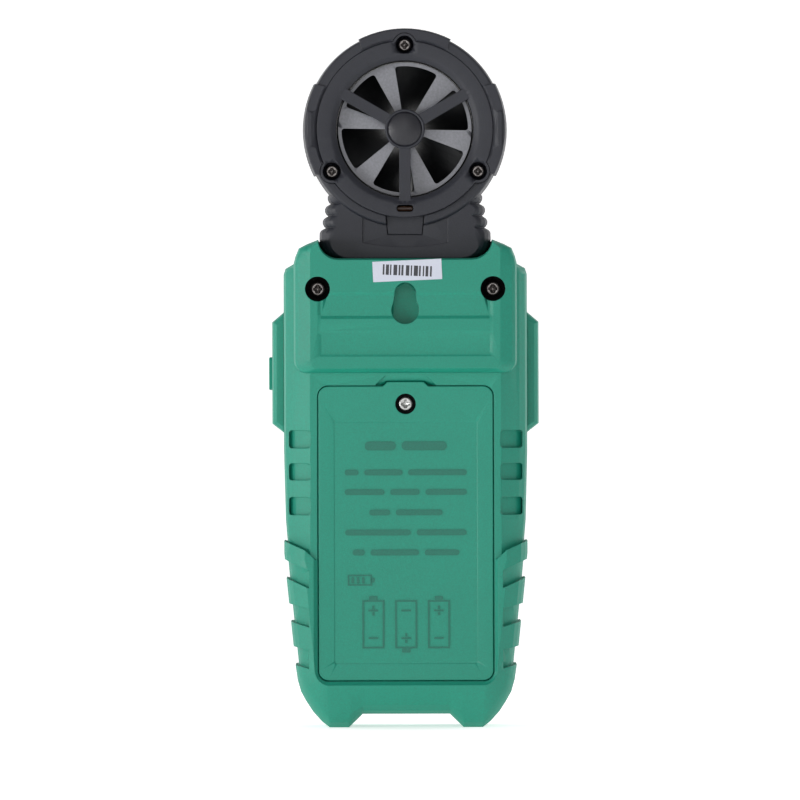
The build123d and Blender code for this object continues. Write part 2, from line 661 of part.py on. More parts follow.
# ---------------------------------------------------------------- keys
def key_pad(column, z, grow, y0, y1):
    """Outline of one front key, grown for its opening or its flange."""
    return pad_y((column - 1) * KEY_X, z, KEY_W + 2 * grow, KEY_H + 2 * grow, KEY_R + grow, y0, y1)


def make_front_key(column, z):
    """Keycap with the flange that keeps it in, and the post that presses its switch."""
    inside = FACE_Y + WALL + GAP
    cap = key_pad(column, z, 0, KEY_TOP_Y, inside)
    rim = cap.faces().sort_by(Axis.Y)[0].edges()
    cap = fillet(rim, 0.5)
    flange = key_pad(column, z, KEY_FLANGE, inside, inside + KEY_FLANGE_T)
    post = rod_y((column - 1) * KEY_X, z, 1.5, inside + KEY_FLANGE_T, inside + KEY_FLANGE_T + 0.8)
    return cap + flange + post


def side_key_slab(grow, x0, x1):
    """Side key's cap along X, grown for its opening or its flange."""
    sketch = Pos(SIDE_KEY_Y, SIDE_KEY_Z) * RectangleRounded(SIDE_KEY_W + 2 * grow, SIDE_KEY_H + 2 * grow, 1.2)
    return extrude(Plane.YZ.offset(x0) * sketch, amount=x1 - x0)


def side_key_pocket():
    """Space inside the wing for the side key's flange."""
    grow = KEY_FLANGE + GAP
    return box_between(HALF_W - 5, HALF_W + WING_OUT - WING_WALL,
                       SIDE_KEY_Y - SIDE_KEY_W / 2 - grow, SIDE_KEY_Y + SIDE_KEY_W / 2 + grow,
                       SIDE_KEY_Z - SIDE_KEY_H / 2 - grow, SIDE_KEY_Z + SIDE_KEY_H / 2 + grow)


def make_side_key():
    """Key in the side wing."""
    wall_x = HALF_W + WING_OUT - WING_WALL - GAP
    face_x = HALF_W + WING_OUT + SIDE_KEY_PROUD
    cap = side_key_slab(0, wall_x - 0.1, face_x)
    cap = fillet(cap.faces().sort_by(Axis.X)[-1].edges(), 0.4)
    ribs = []
    for i in (-1, 0, 1):
        groove_z = SIDE_KEY_Z + i * SIDE_KEY_H / 4
        ribs.append(box_between(face_x - 0.3, face_x + 1, SIDE_KEY_Y - 1.6, SIDE_KEY_Y + 1.6,
                                groove_z - 0.3, groove_z + 0.3))
    for rib in ribs:
        cap = cap - rib
    return cap + side_key_slab(KEY_FLANGE, wall_x - SIDE_FLANGE_T, wall_x)


def make_side_switch():
    """Push switch behind the side key, standing on the back of the board."""
    key_back = HALF_W + WING_OUT - WING_WALL - GAP - SIDE_FLANGE_T
    tip = key_back - SIDE_KEY_TRAVEL - SWITCH_GAP
    body_end = HALF_W - WALL - 0.4
    body = box_between(BOARD_HALF_W - 5, body_end, BOARD_Y, SIDE_KEY_Y + 2, SIDE_KEY_Z - 3, SIDE_KEY_Z + 3)
    return body + rod_x(SIDE_KEY_Y, SIDE_KEY_Z, 1.5, body_end, tip)


# ---------------------------------------------------------------- battery door and bay
def make_battery_door():
    """Door with its tab, sunk panel, screw recess and the two lugs that it tilts on."""
    door = door_outline(0, DOOR_UNDER_Y, BACK_Y) + door_tab(0, DOOR_UNDER_Y, BACK_Y)
    door = fillet(door.faces().sort_by(Axis.Y)[-1].edges(), 0.25)
    z0, z1 = DOOR_PANEL_Z
    door = door - sunk_panel(DOOR_PANEL_HALF_W, z0, z1, DOOR_PANEL_DEPTH, 0.25, BACK_Y)
    boss_y = DOOR_UNDER_Y - DOOR_BOSS_H
    door = door + rod_y(0, DOOR_SCREW_Z, DOOR_BOSS_R, boss_y, DOOR_UNDER_Y)
    door = door - rod_y(0, DOOR_SCREW_Z, DOOR_RECESS_R, boss_y + 0.8, DEPTH)
    door = door - rod_y(0, DOOR_SCREW_Z, 1.15, boss_y - 1, DEPTH)
    for side in (1, -1):
        door = door + box_between(side * LUG_X - LUG_W / 2, side * LUG_X + LUG_W / 2,
                                  DOOR_UNDER_Y - LUG_T, DOOR_UNDER_Y, DOOR_Z0 - LUG_REACH, DOOR_Z0 + LUG_ROOT)
    return door


def make_door_screw():
    """Captive screw of the battery door; its shank is drawn at the thread's core."""
    seat = DOOR_UNDER_Y - DOOR_BOSS_H + 0.8
    return screw_y(0, DOOR_SCREW_Z, seat, INSERT_TOP_Y - 3.0, DOOR_SCREW_HEAD_R, 1.3, 0.95)


def make_battery_pad():
    """Foam strip on the inside of the door."""
    return box_between(-BAY_HALF_W + 1, BAY_HALF_W - 1, DOOR_UNDER_Y - PAD_T, DOOR_UNDER_Y, 44, 62)


def cell_ends(index):
    """Height of a cell's foot, and whether its nub points up."""
    up = index % 2 == 0
    foot = BAY_Z0 + CONTACT_T + SEAT + (SPRING_L if up else 0)
    return foot, up


def make_battery(index):
    """AAA cell."""
    x = (index - 1) * CELL_PITCH
    foot, up = cell_ends(index)
    can = rod_z(x, CELL_Y, CELL_R, foot + (0 if up else NUB_L), foot + CELL_L - (NUB_L if up else 0))
    can = fillet(can.edges().filter_by(GeomType.CIRCLE), 0.5)
    nub = rod_z(x, CELL_Y, NUB_R, foot, foot + NUB_L + 0.01)
    if up:
        nub = rod_z(x, CELL_Y, NUB_R, foot + CELL_L - NUB_L - 0.01, foot + CELL_L)
    return can + nub


def make_battery_springs():
    """Coil springs behind the flat end of each cell."""
    springs = []
    for index in range(3):
        foot, up = cell_ends(index)
        z0 = foot - SPRING_L - SEAT / 2 if up else foot + CELL_L + SEAT / 2
        height = SPRING_L - 2 * SPRING_WIRE_R
        path = Helix(pitch=height / SPRING_TURNS, height=height, radius=SPRING_R)
        start = Plane(origin=path @ 0, z_dir=path % 0)
        coil = sweep(start * Circle(SPRING_WIRE_R), path=path)
        springs.append(Pos((index - 1) * CELL_PITCH, CELL_Y, z0 + SPRING_WIRE_R) * coil)
    return joined(springs)


def make_battery_contacts():
    """Contact plates: bridges between neighbouring cells and the two end plates with solder tabs."""
    plates = []
    y0 = BAY_FLOOR_Y + 0.05
    y1 = CELL_Y + CONTACT_W / 2
    half = CONTACT_W / 2
    low = (BAY_Z0 + 0.01, BAY_Z0 + CONTACT_T)
    high = (BAY_Z1 - CONTACT_T, BAY_Z1 - 0.01)
    for (z0, z1), first, last in ((low, 0, 1), (low, 2, 2), (high, 1, 2), (high, 0, 0)):
        x0 = (first - 1) * CELL_PITCH - half
        x1 = (last - 1) * CELL_PITCH + half
        plates.append(box_between(x0, x1, y0, y1, z0, z1))
    tabs = []
    for side in (1, -1):
        x = side * CELL_PITCH
        tabs.append(box_between(x - 1.5, x + 1.5, BAY_FLOOR_Y - BAY_WALL - 1.5, y0 + 0.5, high[0], high[1]))
    plates[2] = plates[2] + tabs[0]
    plates[3] = plates[3] + tabs[1]
    return joined(plates)


def make_battery_leads():
    """Two wires from the end contacts to the board."""
    leads = []
    z = BAY_Z1 - CONTACT_T / 2
    start_y = BAY_FLOOR_Y - BAY_WALL - 1.5 - 0.05
    for side in (1, -1):
        x = side * CELL_PITCH
        points = [(x, start_y, z), (x, start_y - 5, z), (x, start_y - 8, z + 8), (x, BOARD_Y + 0.05, z + 8)]
        leads.append(tube_along(points, 0.6, 2.0))
    return joined(leads)


# ---------------------------------------------------------------- fasteners
def make_case_screws_upper():
    """Two screws at the top of the case."""
    seat = BLOCK_Y - CASE_RECESS_D
    return joined([screw_y(side * CASE_SCREW_X, CASE_SCREW_Z, seat, -SCREW_BITE, SCREW_HEAD_R, SCREW_HEAD_H,
                           SCREW_R) for side in (1, -1)])


def make_case_screws_lower():
    """Two screws under the battery door."""
    seat = DOOR_UNDER_Y - LOWER_RECESS_D
    return joined([screw_y(side * LOWER_SCREW_X, LOWER_SCREW_Z, seat, -SCREW_BITE, SCREW_HEAD_R, SCREW_HEAD_H,
                           SCREW_R) for side in (1, -1)])


def make_board_screws():
    """Four screws that hold the board to the front case."""
    return joined([screw_y(side * BOARD_SCREW_X, z, BOARD_Y, BOARD_Y - 4.4, 1.9, 1.1, RING_SCREW_SHANK_R)
                   for side in (1, -1) for z in BOARD_SCREW_Z])


def make_ring_screws():
    """Three screws that hold the ring cover."""
    seat = HEAD_REAR_Y - RING_RECESS_D
    screws = []
    for angle in RING_SCREW_ANGLES:
        x, z = on_head(RING_SCREW_PCR, angle)
        screws.append(screw_y(x, z, seat, 1.5, RING_SCREW_HEAD_R, 1.4, RING_SCREW_SHANK_R))
    return joined(screws)


def make_threaded_insert():
    """Brass insert for the door screw; its bore is drawn at the thread's outer radius."""
    return (rod_y(0, DOOR_SCREW_Z, INSERT_R - 0.02, INSERT_TOP_Y - INSERT_L + 0.02, INSERT_TOP_Y)
            - rod_y(0, DOOR_SCREW_Z, INSERT_BORE_R, 0, BACK_Y))


# ---------------------------------------------------------------- head and neck
def neck_silhouette():
    """Outline of the neck with its grip ribs, up into the head."""
    cx = SCOOP_FLAT_HALF_W
    corner_r = NECK_HALF_W - cx
    half = [(13.0, HEAD_Z - 18), (21.0, HEAD_Z - 18.2)]
    for w, z0, z1 in reversed(RIBS):
        r = (z1 - z0) / 2 - 0.15
        half += arc_points(w - r, (z0 + z1) / 2, r, 72, -72, 6)
    half = half[:-3]
    half += arc_points(cx, SCOOP_Z + 0.15 + corner_r, corner_r, 0, -90, 7)
    return mirrored(half)


def neck_half(sign, face):
    """Half of the neck, on the side of the head that sign gives, up to its flat face."""
    inset = 3.0
    silhouette = neck_silhouette()
    crown = [(x - math.copysign(inset, x), z) for x, z in silhouette]
    levels = [(0, 0), (face - 4.5, 0), (face - 2.0, 0.22), (face - 0.7, 0.6), (face, 1)]
    neck = domed(silhouette, crown, [(sign * y, share) for y, share in levels])
    y_plug = sign * PLUG_HALF_T
    plug = box_between(-PLUG_HALF_W, PLUG_HALF_W, min(0, y_plug), max(0, y_plug),
                       SCOOP_Z - PLUG_L, SCOOP_Z + 2)
    y_flange = sign * (PLUG_HALF_T + 1.5)
    flange_w = PLUG_HALF_W + PLUG_FLANGE
    flange = box_between(-flange_w, flange_w, min(0, y_flange), max(0, y_flange),
                         SCOOP_Z - PLUG_L, SCOOP_Z - WALL - 1.5)
    return neck + plug + flange


def neck_hollow(sign, depth):
    """Space for the lead and the sensor board in one half of the neck."""
    y = sign * depth
    return box_between(-11, 11, min(0, y), max(0, y), SCOOP_Z - PLUG_L - 1, HEAD_Z - BORE_R - 4.5)


def head_boss_gap(sign, y):
    """Ring-shaped hollow of the head, without the screw bosses."""
    hollow = ring_y(HEAD_R - HEAD_DRAFT - WALL, BORE_R + 1.8, min(0, sign * y), max(0, sign * y))
    for angle in RING_SCREW_ANGLES:
        x, z = on_head(RING_SCREW_PCR, angle)
        hollow = hollow - rod_y(x, z, RING_BOSS_R + 1.0, -DEPTH, DEPTH)
    return hollow - box_between(-30, 30, -DEPTH, DEPTH, 0, HEAD_Z - 17)


def head_disc(r, face):
    """Round half of the head, from the parting plane to its face, with draft."""
    levels = ((0, r), (face, r - HEAD_DRAFT))
    return loft([Plane.XZ.offset(-y) * (Pos(0, HEAD_Z) * Circle(radius)) for y, radius in levels], ruled=True)


def head_bumps(face):
    """Three outer pads at the head's left, top and right, from the parting plane to their face."""
    bumps = []
    for angle in BUMP_ANGLES:
        outlines = []
        for r in (BUMP_R, BUMP_R - HEAD_DRAFT):
            outer = arc_points(0, HEAD_Z, r, angle - BUMP_HALF_ANGLE + 1.6, angle + BUMP_HALF_ANGLE - 1.6, 15)
            inner = arc_points(0, HEAD_Z, BUMP_IN_R, angle + BUMP_HALF_ANGLE, angle - BUMP_HALF_ANGLE, 15)
            outlines.append(outer + inner)
        near = face - math.copysign(0.25, face)
        bumps.append(domed(outlines[0], outlines[1], ((0, 0), (near, 1), (face, 1.4))))
    return bumps


def make_neck_rear():
    """Rear half of the neck and head, which carries the ring cover."""
    shell = neck_half(1, NECK_Y)
    head = head_disc(HEAD_R, LOW_RIM_Y)
    head = fillet(head.edges().filter_by(GeomType.CIRCLE).sort_by(Axis.Y)[-1], 1.2)
    rim = head_disc(HEAD_R, RIM_Y)
    rim = fillet(rim.edges().filter_by(GeomType.CIRCLE).sort_by(Axis.Y)[-1], 0.7)
    rim = rim - box_between(-40, 40, -1, DEPTH, 0, HEAD_Z - 12.6)
    head = head + rim
    for bump in head_bumps(BUMP_Y):
        head = head + bump
    for side in (1, -1):
        bar = pad_y(side * 27.6, HEAD_Z, 1.2, 10.4, 0.58, BUMP_Y - 0.2, BUMP_Y + 0.3)
        head = head + bar
    shell = shell + head
    shell = shell - rod_y(0, HEAD_Z, RING_OUT_R + SEAT, NECK_Y + SEAT, DEPTH)
    shell = shell - rod_y(0, HEAD_Z, BORE_R, -1, DEPTH)
    recess_r = 60.0
    low = HEAD_Z - 32.9
    arc = arc_points(0, low - 1.3 + recess_r, recess_r, -90 - 11.9, -90 + 11.9, 9)
    shell = shell - outline_solid(arc + [(PANEL_NECK_HALF_W, HEAD_Z - 20), (-PANEL_NECK_HALF_W, HEAD_Z - 20)],
                                  NECK_Y - PANEL_NECK_DEPTH, NECK_Y + 0.1)
    shell = shell - neck_tab(0.25, NECK_Y - PANEL_NECK_DEPTH - TAB_NECK_T - SEAT, NECK_Y + 2)
    shell = shell - box_between(-3.2, 3.2, 0, NECK_Y + 2, HEAD_Z - SLOT_R - 1.4, HEAD_Z - SLOT_R + 1.4)
    shell = shell - neck_hollow(1, 8.0)
    shell = shell - box_between(-6.5, 6.5, -1, 5.6, HEAD_Z - BORE_R - 5, HEAD_Z - BORE_R - 2.2)
    shell = shell - box_between(-2.4, 2.4, -1, 5.2, HEAD_Z - BORE_R - 3, HEAD_Z - BORE_R + 1)
    shell = shell - head_boss_gap(1, 9.0)
    for angle in RING_SCREW_ANGLES:
        x, z = on_head(RING_SCREW_PCR, angle)
        shell = shell - rod_y(x, z, RING_BOSS_R + SEAT, HEAD_REAR_Y - RING_RECESS_D - 1.0, DEPTH)
        shell = shell - rod_y(x, z, RING_SCREW_SHANK_R + PILOT_PLAY, 1.0, DEPTH)
    return shell


def make_neck_front():
    """Front half of the neck and head with the front guard."""
    shell = neck_half(-1, -HEAD_FRONT_Y - 0.5)
    head = head_disc(HEAD_R, HEAD_FRONT_Y)
    head = fillet(head.edges().filter_by(GeomType.CIRCLE).sort_by(Axis.Y)[0], 1.6)
    for bump in head_bumps(HEAD_FRONT_Y + 1.5):
        head = head + bump
    shell = shell + head
    guard_y = HEAD_FRONT_Y + FRONT_STRUT_T
    shell = shell - rod_y(0, HEAD_Z, BORE_R, guard_y + 0.6, 1)
    cone = Plane.XZ.offset(-HEAD_FRONT_Y + 0.01) * (Pos(0, HEAD_Z) * Circle(RING_CHAMFER_R))
    mouth = Plane.XZ.offset(-(HEAD_FRONT_Y + 1.4)) * (Pos(0, HEAD_Z) * Circle(FRONT_IN_R))
    shell = shell - loft([cone, mouth], ruled=True) - rod_y(0, HEAD_Z, FRONT_IN_R, HEAD_FRONT_Y, 1)
    shell = shell - neck_hollow(-1, 8.0)
    shell = shell - head_boss_gap(-1, 9.0)
    for angle in STRUT_ANGLES:
        shell = shell + strut(angle, HEAD_FRONT_Y + 0.4, guard_y, RING_IN_R + 0.6)
    hub_back = HEAD_FRONT_Y + FRONT_HUB_L
    hub = rod_y(0, HEAD_Z, HUB_R, HEAD_FRONT_Y, hub_back)
    hub = fillet(hub.edges().filter_by(GeomType.CIRCLE).sort_by(Axis.Y)[0], 0.8)
    return shell + hub - rod_y(0, HEAD_Z, BEARING_R, hub_back - BEARING_L - 0.4, hub_back)


def neck_tab(grow, y0, y1):
    """Tab of the ring cover that lies in the neck, grown for its opening."""
    z0, z1 = TAB_NECK_Z
    low, high = TAB_NECK_HALF_W
    top = high + (high - low) / (z1 - z0) * 1.0
    return outline_solid([(-low - grow, z0 - grow), (low + grow, z0 - grow), (top + grow, z1 + grow),
                          (-top - grow, z1 + grow)], y0, y1)


def strut(angle, y0, y1, reach):
    """Straight arm from the hub to the ring."""
    arm = at_y(Pos(reach / 2, 0) * Rectangle(reach, STRUT_W), y0, y1)
    return Pos(0, 0, HEAD_Z) * (Rot(0, -angle, 0) * arm)


def make_ring_cover():
    """Rear ring with its three struts, hub, tab and the slot of the temperature sensor."""
    base_y = NECK_Y + 2 * SEAT
    ring = ring_y(RING_OUT_R, RING_IN_R, base_y, HEAD_REAR_Y)
    outer_edge = ring.edges().filter_by(GeomType.CIRCLE).group_by(Axis.Y)[-1].sort_by(SortBy.RADIUS)[-1]
    ring = fillet(outer_edge, 0.15)
    top = Plane.XZ.offset(-HEAD_REAR_Y - 0.01) * (Pos(0, HEAD_Z) * Circle(RING_CHAMFER_R))
    low = Plane.XZ.offset(-(base_y + RING_LIP_T)) * (Pos(0, HEAD_Z) * Circle(RING_IN_R))
    seat = HEAD_REAR_Y - RING_RECESS_D
    places = [on_head(RING_SCREW_PCR, angle) for angle in RING_SCREW_ANGLES]
    for x, z in places:
        ring = ring + rod_y(x, z, RING_BOSS_R, seat - 0.9, HEAD_REAR_Y)
    ring = ring - loft([low, top], ruled=True)
    for x, z in places:
        ring = ring - rod_y(x, z, RING_RECESS_R, seat, DEPTH)
        ring = ring - rod_y(x, z, RING_SCREW_SHANK_R + 0.15, 0, DEPTH)
    for angle in STRUT_ANGLES:
        ring = ring + strut(angle, STRUT_Y[0], STRUT_Y[1], RING_IN_R + 0.9)
    hub = rod_y(0, HEAD_Z, HUB_R, HUB_Y[0], HUB_Y[1])
    hub = fillet(hub.edges().filter_by(GeomType.CIRCLE).sort_by(Axis.Y)[-1], 0.35)
    ring = ring + hub
    ring = ring - rod_y(0, HEAD_Z, CAP_R + 0.1, HUB_Y[1] - 0.5, DEPTH)
    ring = ring - rod_y(0, HEAD_Z, BEARING_R, HUB_Y[0], HUB_Y[0] + BEARING_L + 0.1)
    face = NECK_Y - PANEL_NECK_DEPTH
    ring = ring + neck_tab(0, face - TAB_NECK_T, face)
    ring = ring + (neck_tab(0, face - TAB_NECK_T, base_y + 0.5) & box_between(
        -10, 10, 0, DEPTH, HEAD_Z - RING_OUT_R + 0.3, HEAD_Z))
    slot = pad_y(0, HEAD_Z - SLOT_R, SLOT_W, SLOT_H, SLOT_H / 2 - 0.05, 0, DEPTH)
    return ring - slot


def make_hub_cap():
    """Low dome in the middle of the ring cover."""
    base = HUB_Y[1] - 0.5
    rise = CAP_TOP_Y - base - 0.6
    dome_r = (CAP_R ** 2 + rise ** 2) / (2 * rise)
    return rod_y(0, HEAD_Z, CAP_R, base, CAP_TOP_Y + 1) & (Pos(0, CAP_TOP_Y - dome_r, HEAD_Z) * Sphere(dome_r))


def make_air_duct():
    """Smooth tube around the rotor."""
    return ring_y(DUCT_R + DUCT_T, DUCT_R, HEAD_FRONT_Y + FRONT_STRUT_T + 0.7, NECK_Y)


# ---------------------------------------------------------------- rotor
def window_sector():
    """Opening between two lands of the impeller, with rounded outer corners."""
    outer = ROTOR_R - ROTOR_RING_W
    inner = WINDOW_IN_R
    half = math.radians((360 / BLADES - LAND_ANGLE) / 2)
    a = (outer * math.cos(half), outer * math.sin(half))
    b = (inner * math.cos(half), inner * math.sin(half))
    outline = (Line((b[0], -b[1]), (a[0], -a[1])) + ThreePointArc((a[0], -a[1]), (outer, 0), a)
               + Line(a, b) + ThreePointArc(b, (inner, 0), (b[0], -b[1])))
    sketch = make_face(outline)
    corners = sketch.vertices().group_by(SortBy.DISTANCE)[-1]
    return fillet(corners, 0.9)


def make_impeller():
    """Six-bladed impeller: flat ring and lands at the back, sloped blades and a shroud."""
    plate = at_y(Pos(0, HEAD_Z) * Circle(ROTOR_R), ROTOR_LAND_Y - LAND_T, ROTOR_LAND_Y)
    pitch = 360 / BLADES
    for i in range(BLADES):
        middle = FIRST_LAND_ANGLE + pitch * (i + 0.5)
        window = Rot(0, -middle, 0) * at_y(window_sector(), 0, DEPTH)
        plate = plate - Pos(0, 0, HEAD_Z) * window
    wheel = plate + ring_y(ROTOR_R, ROTOR_R - SHROUD_T, ROTOR_FRONT_Y, ROTOR_LAND_Y)
    wheel = wheel + rod_y(0, HEAD_Z, ROTOR_HUB_R, ROTOR_FRONT_Y - 1.5, ROTOR_LAND_Y + 0.4)
    for i in range(BLADES):
        start = FIRST_LAND_ANGLE + pitch * i + LAND_ANGLE / 2 - 1.5
        wheel = wheel + blade(start)
    wheel = wheel - rod_y(0, HEAD_Z, SHAFT_R, -DEPTH, DEPTH)
    for side in (1, -1):
        wheel = wheel - rod_x(2.0, HEAD_Z, MAGNET_R, *sorted((side * (ROTOR_R - MAGNET_L - 0.05), side * DEPTH)))
    return wheel


def blade(start):
    """Sloped blade that leaves the edge of a land and runs forward under the next one."""
    inner = ROTOR_HUB_R - 0.6
    outer = ROTOR_R - SHROUD_T / 2
    sections = []
    steps = 6
    highest = ROTOR_LAND_Y - LAND_T / 4
    drop = highest - ROTOR_FRONT_Y - LAND_T / 2 - BLADE_T
    for i in range(steps + 1):
        angle = math.radians(start + BLADE_SWEEP * i / steps)
        top = highest - drop * i / steps
        corners = [(inner, top), (outer, top), (outer, top - BLADE_T), (inner, top - BLADE_T)]
        points = [Vector(r * math.cos(angle), y, HEAD_Z + r * math.sin(angle)) for r, y in corners]
        sections.append(Wire.make_polygon(points, close=True))
    return Solid.make_loft(sections, ruled=True)


def make_rotor_magnets():
    """Two magnets in the impeller's shroud that the Hall sensor counts."""
    inner = ROTOR_R - MAGNET_L
    outer = ROTOR_R - 0.02
    return joined([rod_x(2.0, HEAD_Z, MAGNET_R - 0.01, *span) for span in ((inner, outer), (-outer, -inner))])


def make_impeller_shaft():
    """Steel pin pressed into the impeller."""
    front = HEAD_FRONT_Y + FRONT_HUB_L - BEARING_L - 0.2
    return rod_y(0, HEAD_Z, SHAFT_R, front, HUB_Y[0] + BEARING_L - 0.1)


def make_bearing(y0):
    """Plain bearing in one of the hubs."""
    return ring_y(BEARING_R - 0.01, SHAFT_R + RUN_FIT, y0, y0 + BEARING_L)


# ---------------------------------------------------------------- display and electronics
def make_fascia():
    """Dark plate around the display and the keys."""
    z = (FASCIA_Z[0] + FASCIA_Z[1]) / 2
    plate = pad_y(0, z, 2 * FASCIA_HALF_W, FASCIA_Z[1] - FASCIA_Z[0], FASCIA_R - SEAT,
                  FACE_Y, FACE_Y + FASCIA_T - 0.02)
    plate = plate - pad_y(0, LENS_Z, LENS_W + 2 * SEAT, LENS_H + 2 * SEAT, 2.0, -DEPTH, 0)
    for row, z in zip(KEY_NAMES, KEY_ROWS):
        for column in range(len(row)):
            plate = plate - key_pad(column, z, GAP, -DEPTH, 0)
    return plate


def make_display_lens():
    """Clear window over the display."""
    return pad_y(0, LENS_Z, LENS_W, LENS_H, 1.9, FACE_Y + 0.1, FACE_Y + 0.08 + LENS_T)


def make_lcd_frame():
    """Frame that holds the display and its light to the board."""
    y0 = FACE_Y + WALL + 0.1
    frame = pad_y(0, LENS_Z, LENS_W + 3, LENS_H + 5, 1.5, y0, BOARD_Y - BOARD_T - 0.05)
    frame = frame - pad_y(0, LENS_Z, LENS_W - 5, LENS_H - 4, 1.0, -DEPTH, 0)
    return frame - pad_y(0, LENS_Z, LENS_W + 3 - 2 * LCD_RIM, LENS_H + 5 - 2 * LCD_RIM, 0.5, y0 + 0.8, 0)


def lcd_plate(y0, y1, z_cut):
    """Plate inside the LCD frame, short of its lower edge by z_cut."""
    w = LENS_W + 3 - 2 * LCD_RIM - 2 * LCD_GAP
    h = LENS_H + 5 - 2 * LCD_RIM - 2 * LCD_GAP
    return box_between(-w / 2, w / 2, y0, y1, LENS_Z - h / 2 + z_cut, LENS_Z + h / 2)


LCD_Y = FACE_Y + WALL + 0.1 + 0.8 + 0.05


def make_lcd_panel():
    """Liquid crystal panel."""
    return lcd_plate(LCD_Y, LCD_Y + LCD_T, 0)


def make_lcd_backlight():
    """Light guide behind the panel."""
    return lcd_plate(LCD_Y + LCD_T + 0.1, BOARD_Y - BOARD_T - 0.1, 4.0)


def make_lcd_connector_strip():
    """Elastomer strip from the panel's lower edge to the board."""
    h = LENS_H + 5 - 2 * LCD_RIM - 2 * LCD_GAP
    z = LENS_Z - h / 2 + 1.6
    half_w = LENS_W / 2 - 3
    return box_between(-half_w, half_w, LCD_Y + LCD_T + 0.02, BOARD_Y - BOARD_T - 0.05, z - 0.9, z + 0.9)


def make_main_board():
    """Circuit board."""
    board = pad_y(0, (BOARD_Z[0] + BOARD_Z[1]) / 2, 2 * BOARD_HALF_W, BOARD_Z[1] - BOARD_Z[0], 2.0,
                  BOARD_Y - BOARD_T, BOARD_Y)
    for side in (1, -1):
        for z in BOARD_SCREW_Z:
            board = board - rod_y(side * BOARD_SCREW_X, z, 1.1, -DEPTH, 0)
    return board


def make_board_chips():
    """Main chip, amplifier, memory and passives on the back of the board."""
    y0 = BOARD_Y + 0.02
    sizes = ((0, 62, 10, 10, 1.5), (-14, 60, 5, 4, 1.3), (-14, 50, 4, 5, 1.2), (10, 92, 6, 4, 1.2),
             (-8, 96, 8, 3, 2.4), (-12, 108, 4, 3, 1.0), (2, 106, 3, 2, 0.8), (12, 106, 3, 2, 0.8))
    return joined([box_between(x - w / 2, x + w / 2, y0, y0 + t, z - h / 2, z + h / 2)
                   for x, z, w, h, t in sizes])


def make_buzzer():
    """Round buzzer on the back of the board."""
    can = rod_y(18, 60, 4.8, BOARD_Y + 0.02, BOARD_Y + 4.5)
    return can - rod_y(18, 60, 0.8, BOARD_Y + 3.5, BOARD_Y + 5)


def make_key_switches():
    """Tact switches under the front keys."""
    pressed_back = FACE_Y + WALL + GAP + KEY_FLANGE_T + 0.8 + KEY_TRAVEL
    tip = pressed_back + SWITCH_GAP
    face = BOARD_Y - BOARD_T - 0.02
    switches = []
    for row, z in zip(KEY_NAMES, KEY_ROWS):
        for column in range(len(row)):
            x = (column - 1) * KEY_X
            body = box_between(x - 3, x + 3, tip + 0.6, face, z - 3, z + 3)
            switches.append(body + rod_y(x, z, 1.7, tip, tip + 0.6))
    return joined(switches)


def make_sensor_board():
    """Small board in the neck for the Hall sensor and the temperature sensor."""
    return box_between(-5.5, 5.5, 2.6, 3.6, SCOOP_Z, HEAD_Z - BORE_R - 2.4)


def make_hall_sensor():
    """Hall sensor outside the duct, in line with the magnets."""
    z0 = HEAD_Z - BORE_R - 2.35
    return box_between(-2.0, 2.0, 1.0, 2.6, z0, z0 + 2.2)


def make_thermistor():
    """Bead thermistor behind the slot, with its two legs down to the sensor board."""
    z = HEAD_Z - SLOT_R
    bead = box_between(-2.2, 2.2, 7.6, 9.2, z - 0.8, z + 0.8)
    bead = fillet(bead.edges().filter_by(Axis.X), 0.6)
    legs = []
    for side in (1, -1):
        legs.append(box_between(side * 1.4 - 0.2, side * 1.4 + 0.2, 3.62, 7.7, z - 0.2, z + 0.2))
        bead = bead + legs[-1]
    return bead


def make_sensor_lead():
    """Lead from the sensor board down to the main board."""
    points = [(3, 1.6, SCOOP_Z + 6), (3, 1.6, SCOOP_Z - 10), (3, -4.0, SCOOP_Z - 18),
              (3, BOARD_Y + 0.05, SCOOP_Z - 18)]
    return tube_along(points, 0.9, 3.0)


def make_serial_label():
    """Small paper label on the back."""
    sketch = Pos(-0.6, SCOOP_Z - 3.6) * (Rot(0, 0, LABEL_TILT) * Rectangle(*LABEL_SIZE))
    return at_y(sketch, BLOCK_Y, BLOCK_Y + LABEL_T)


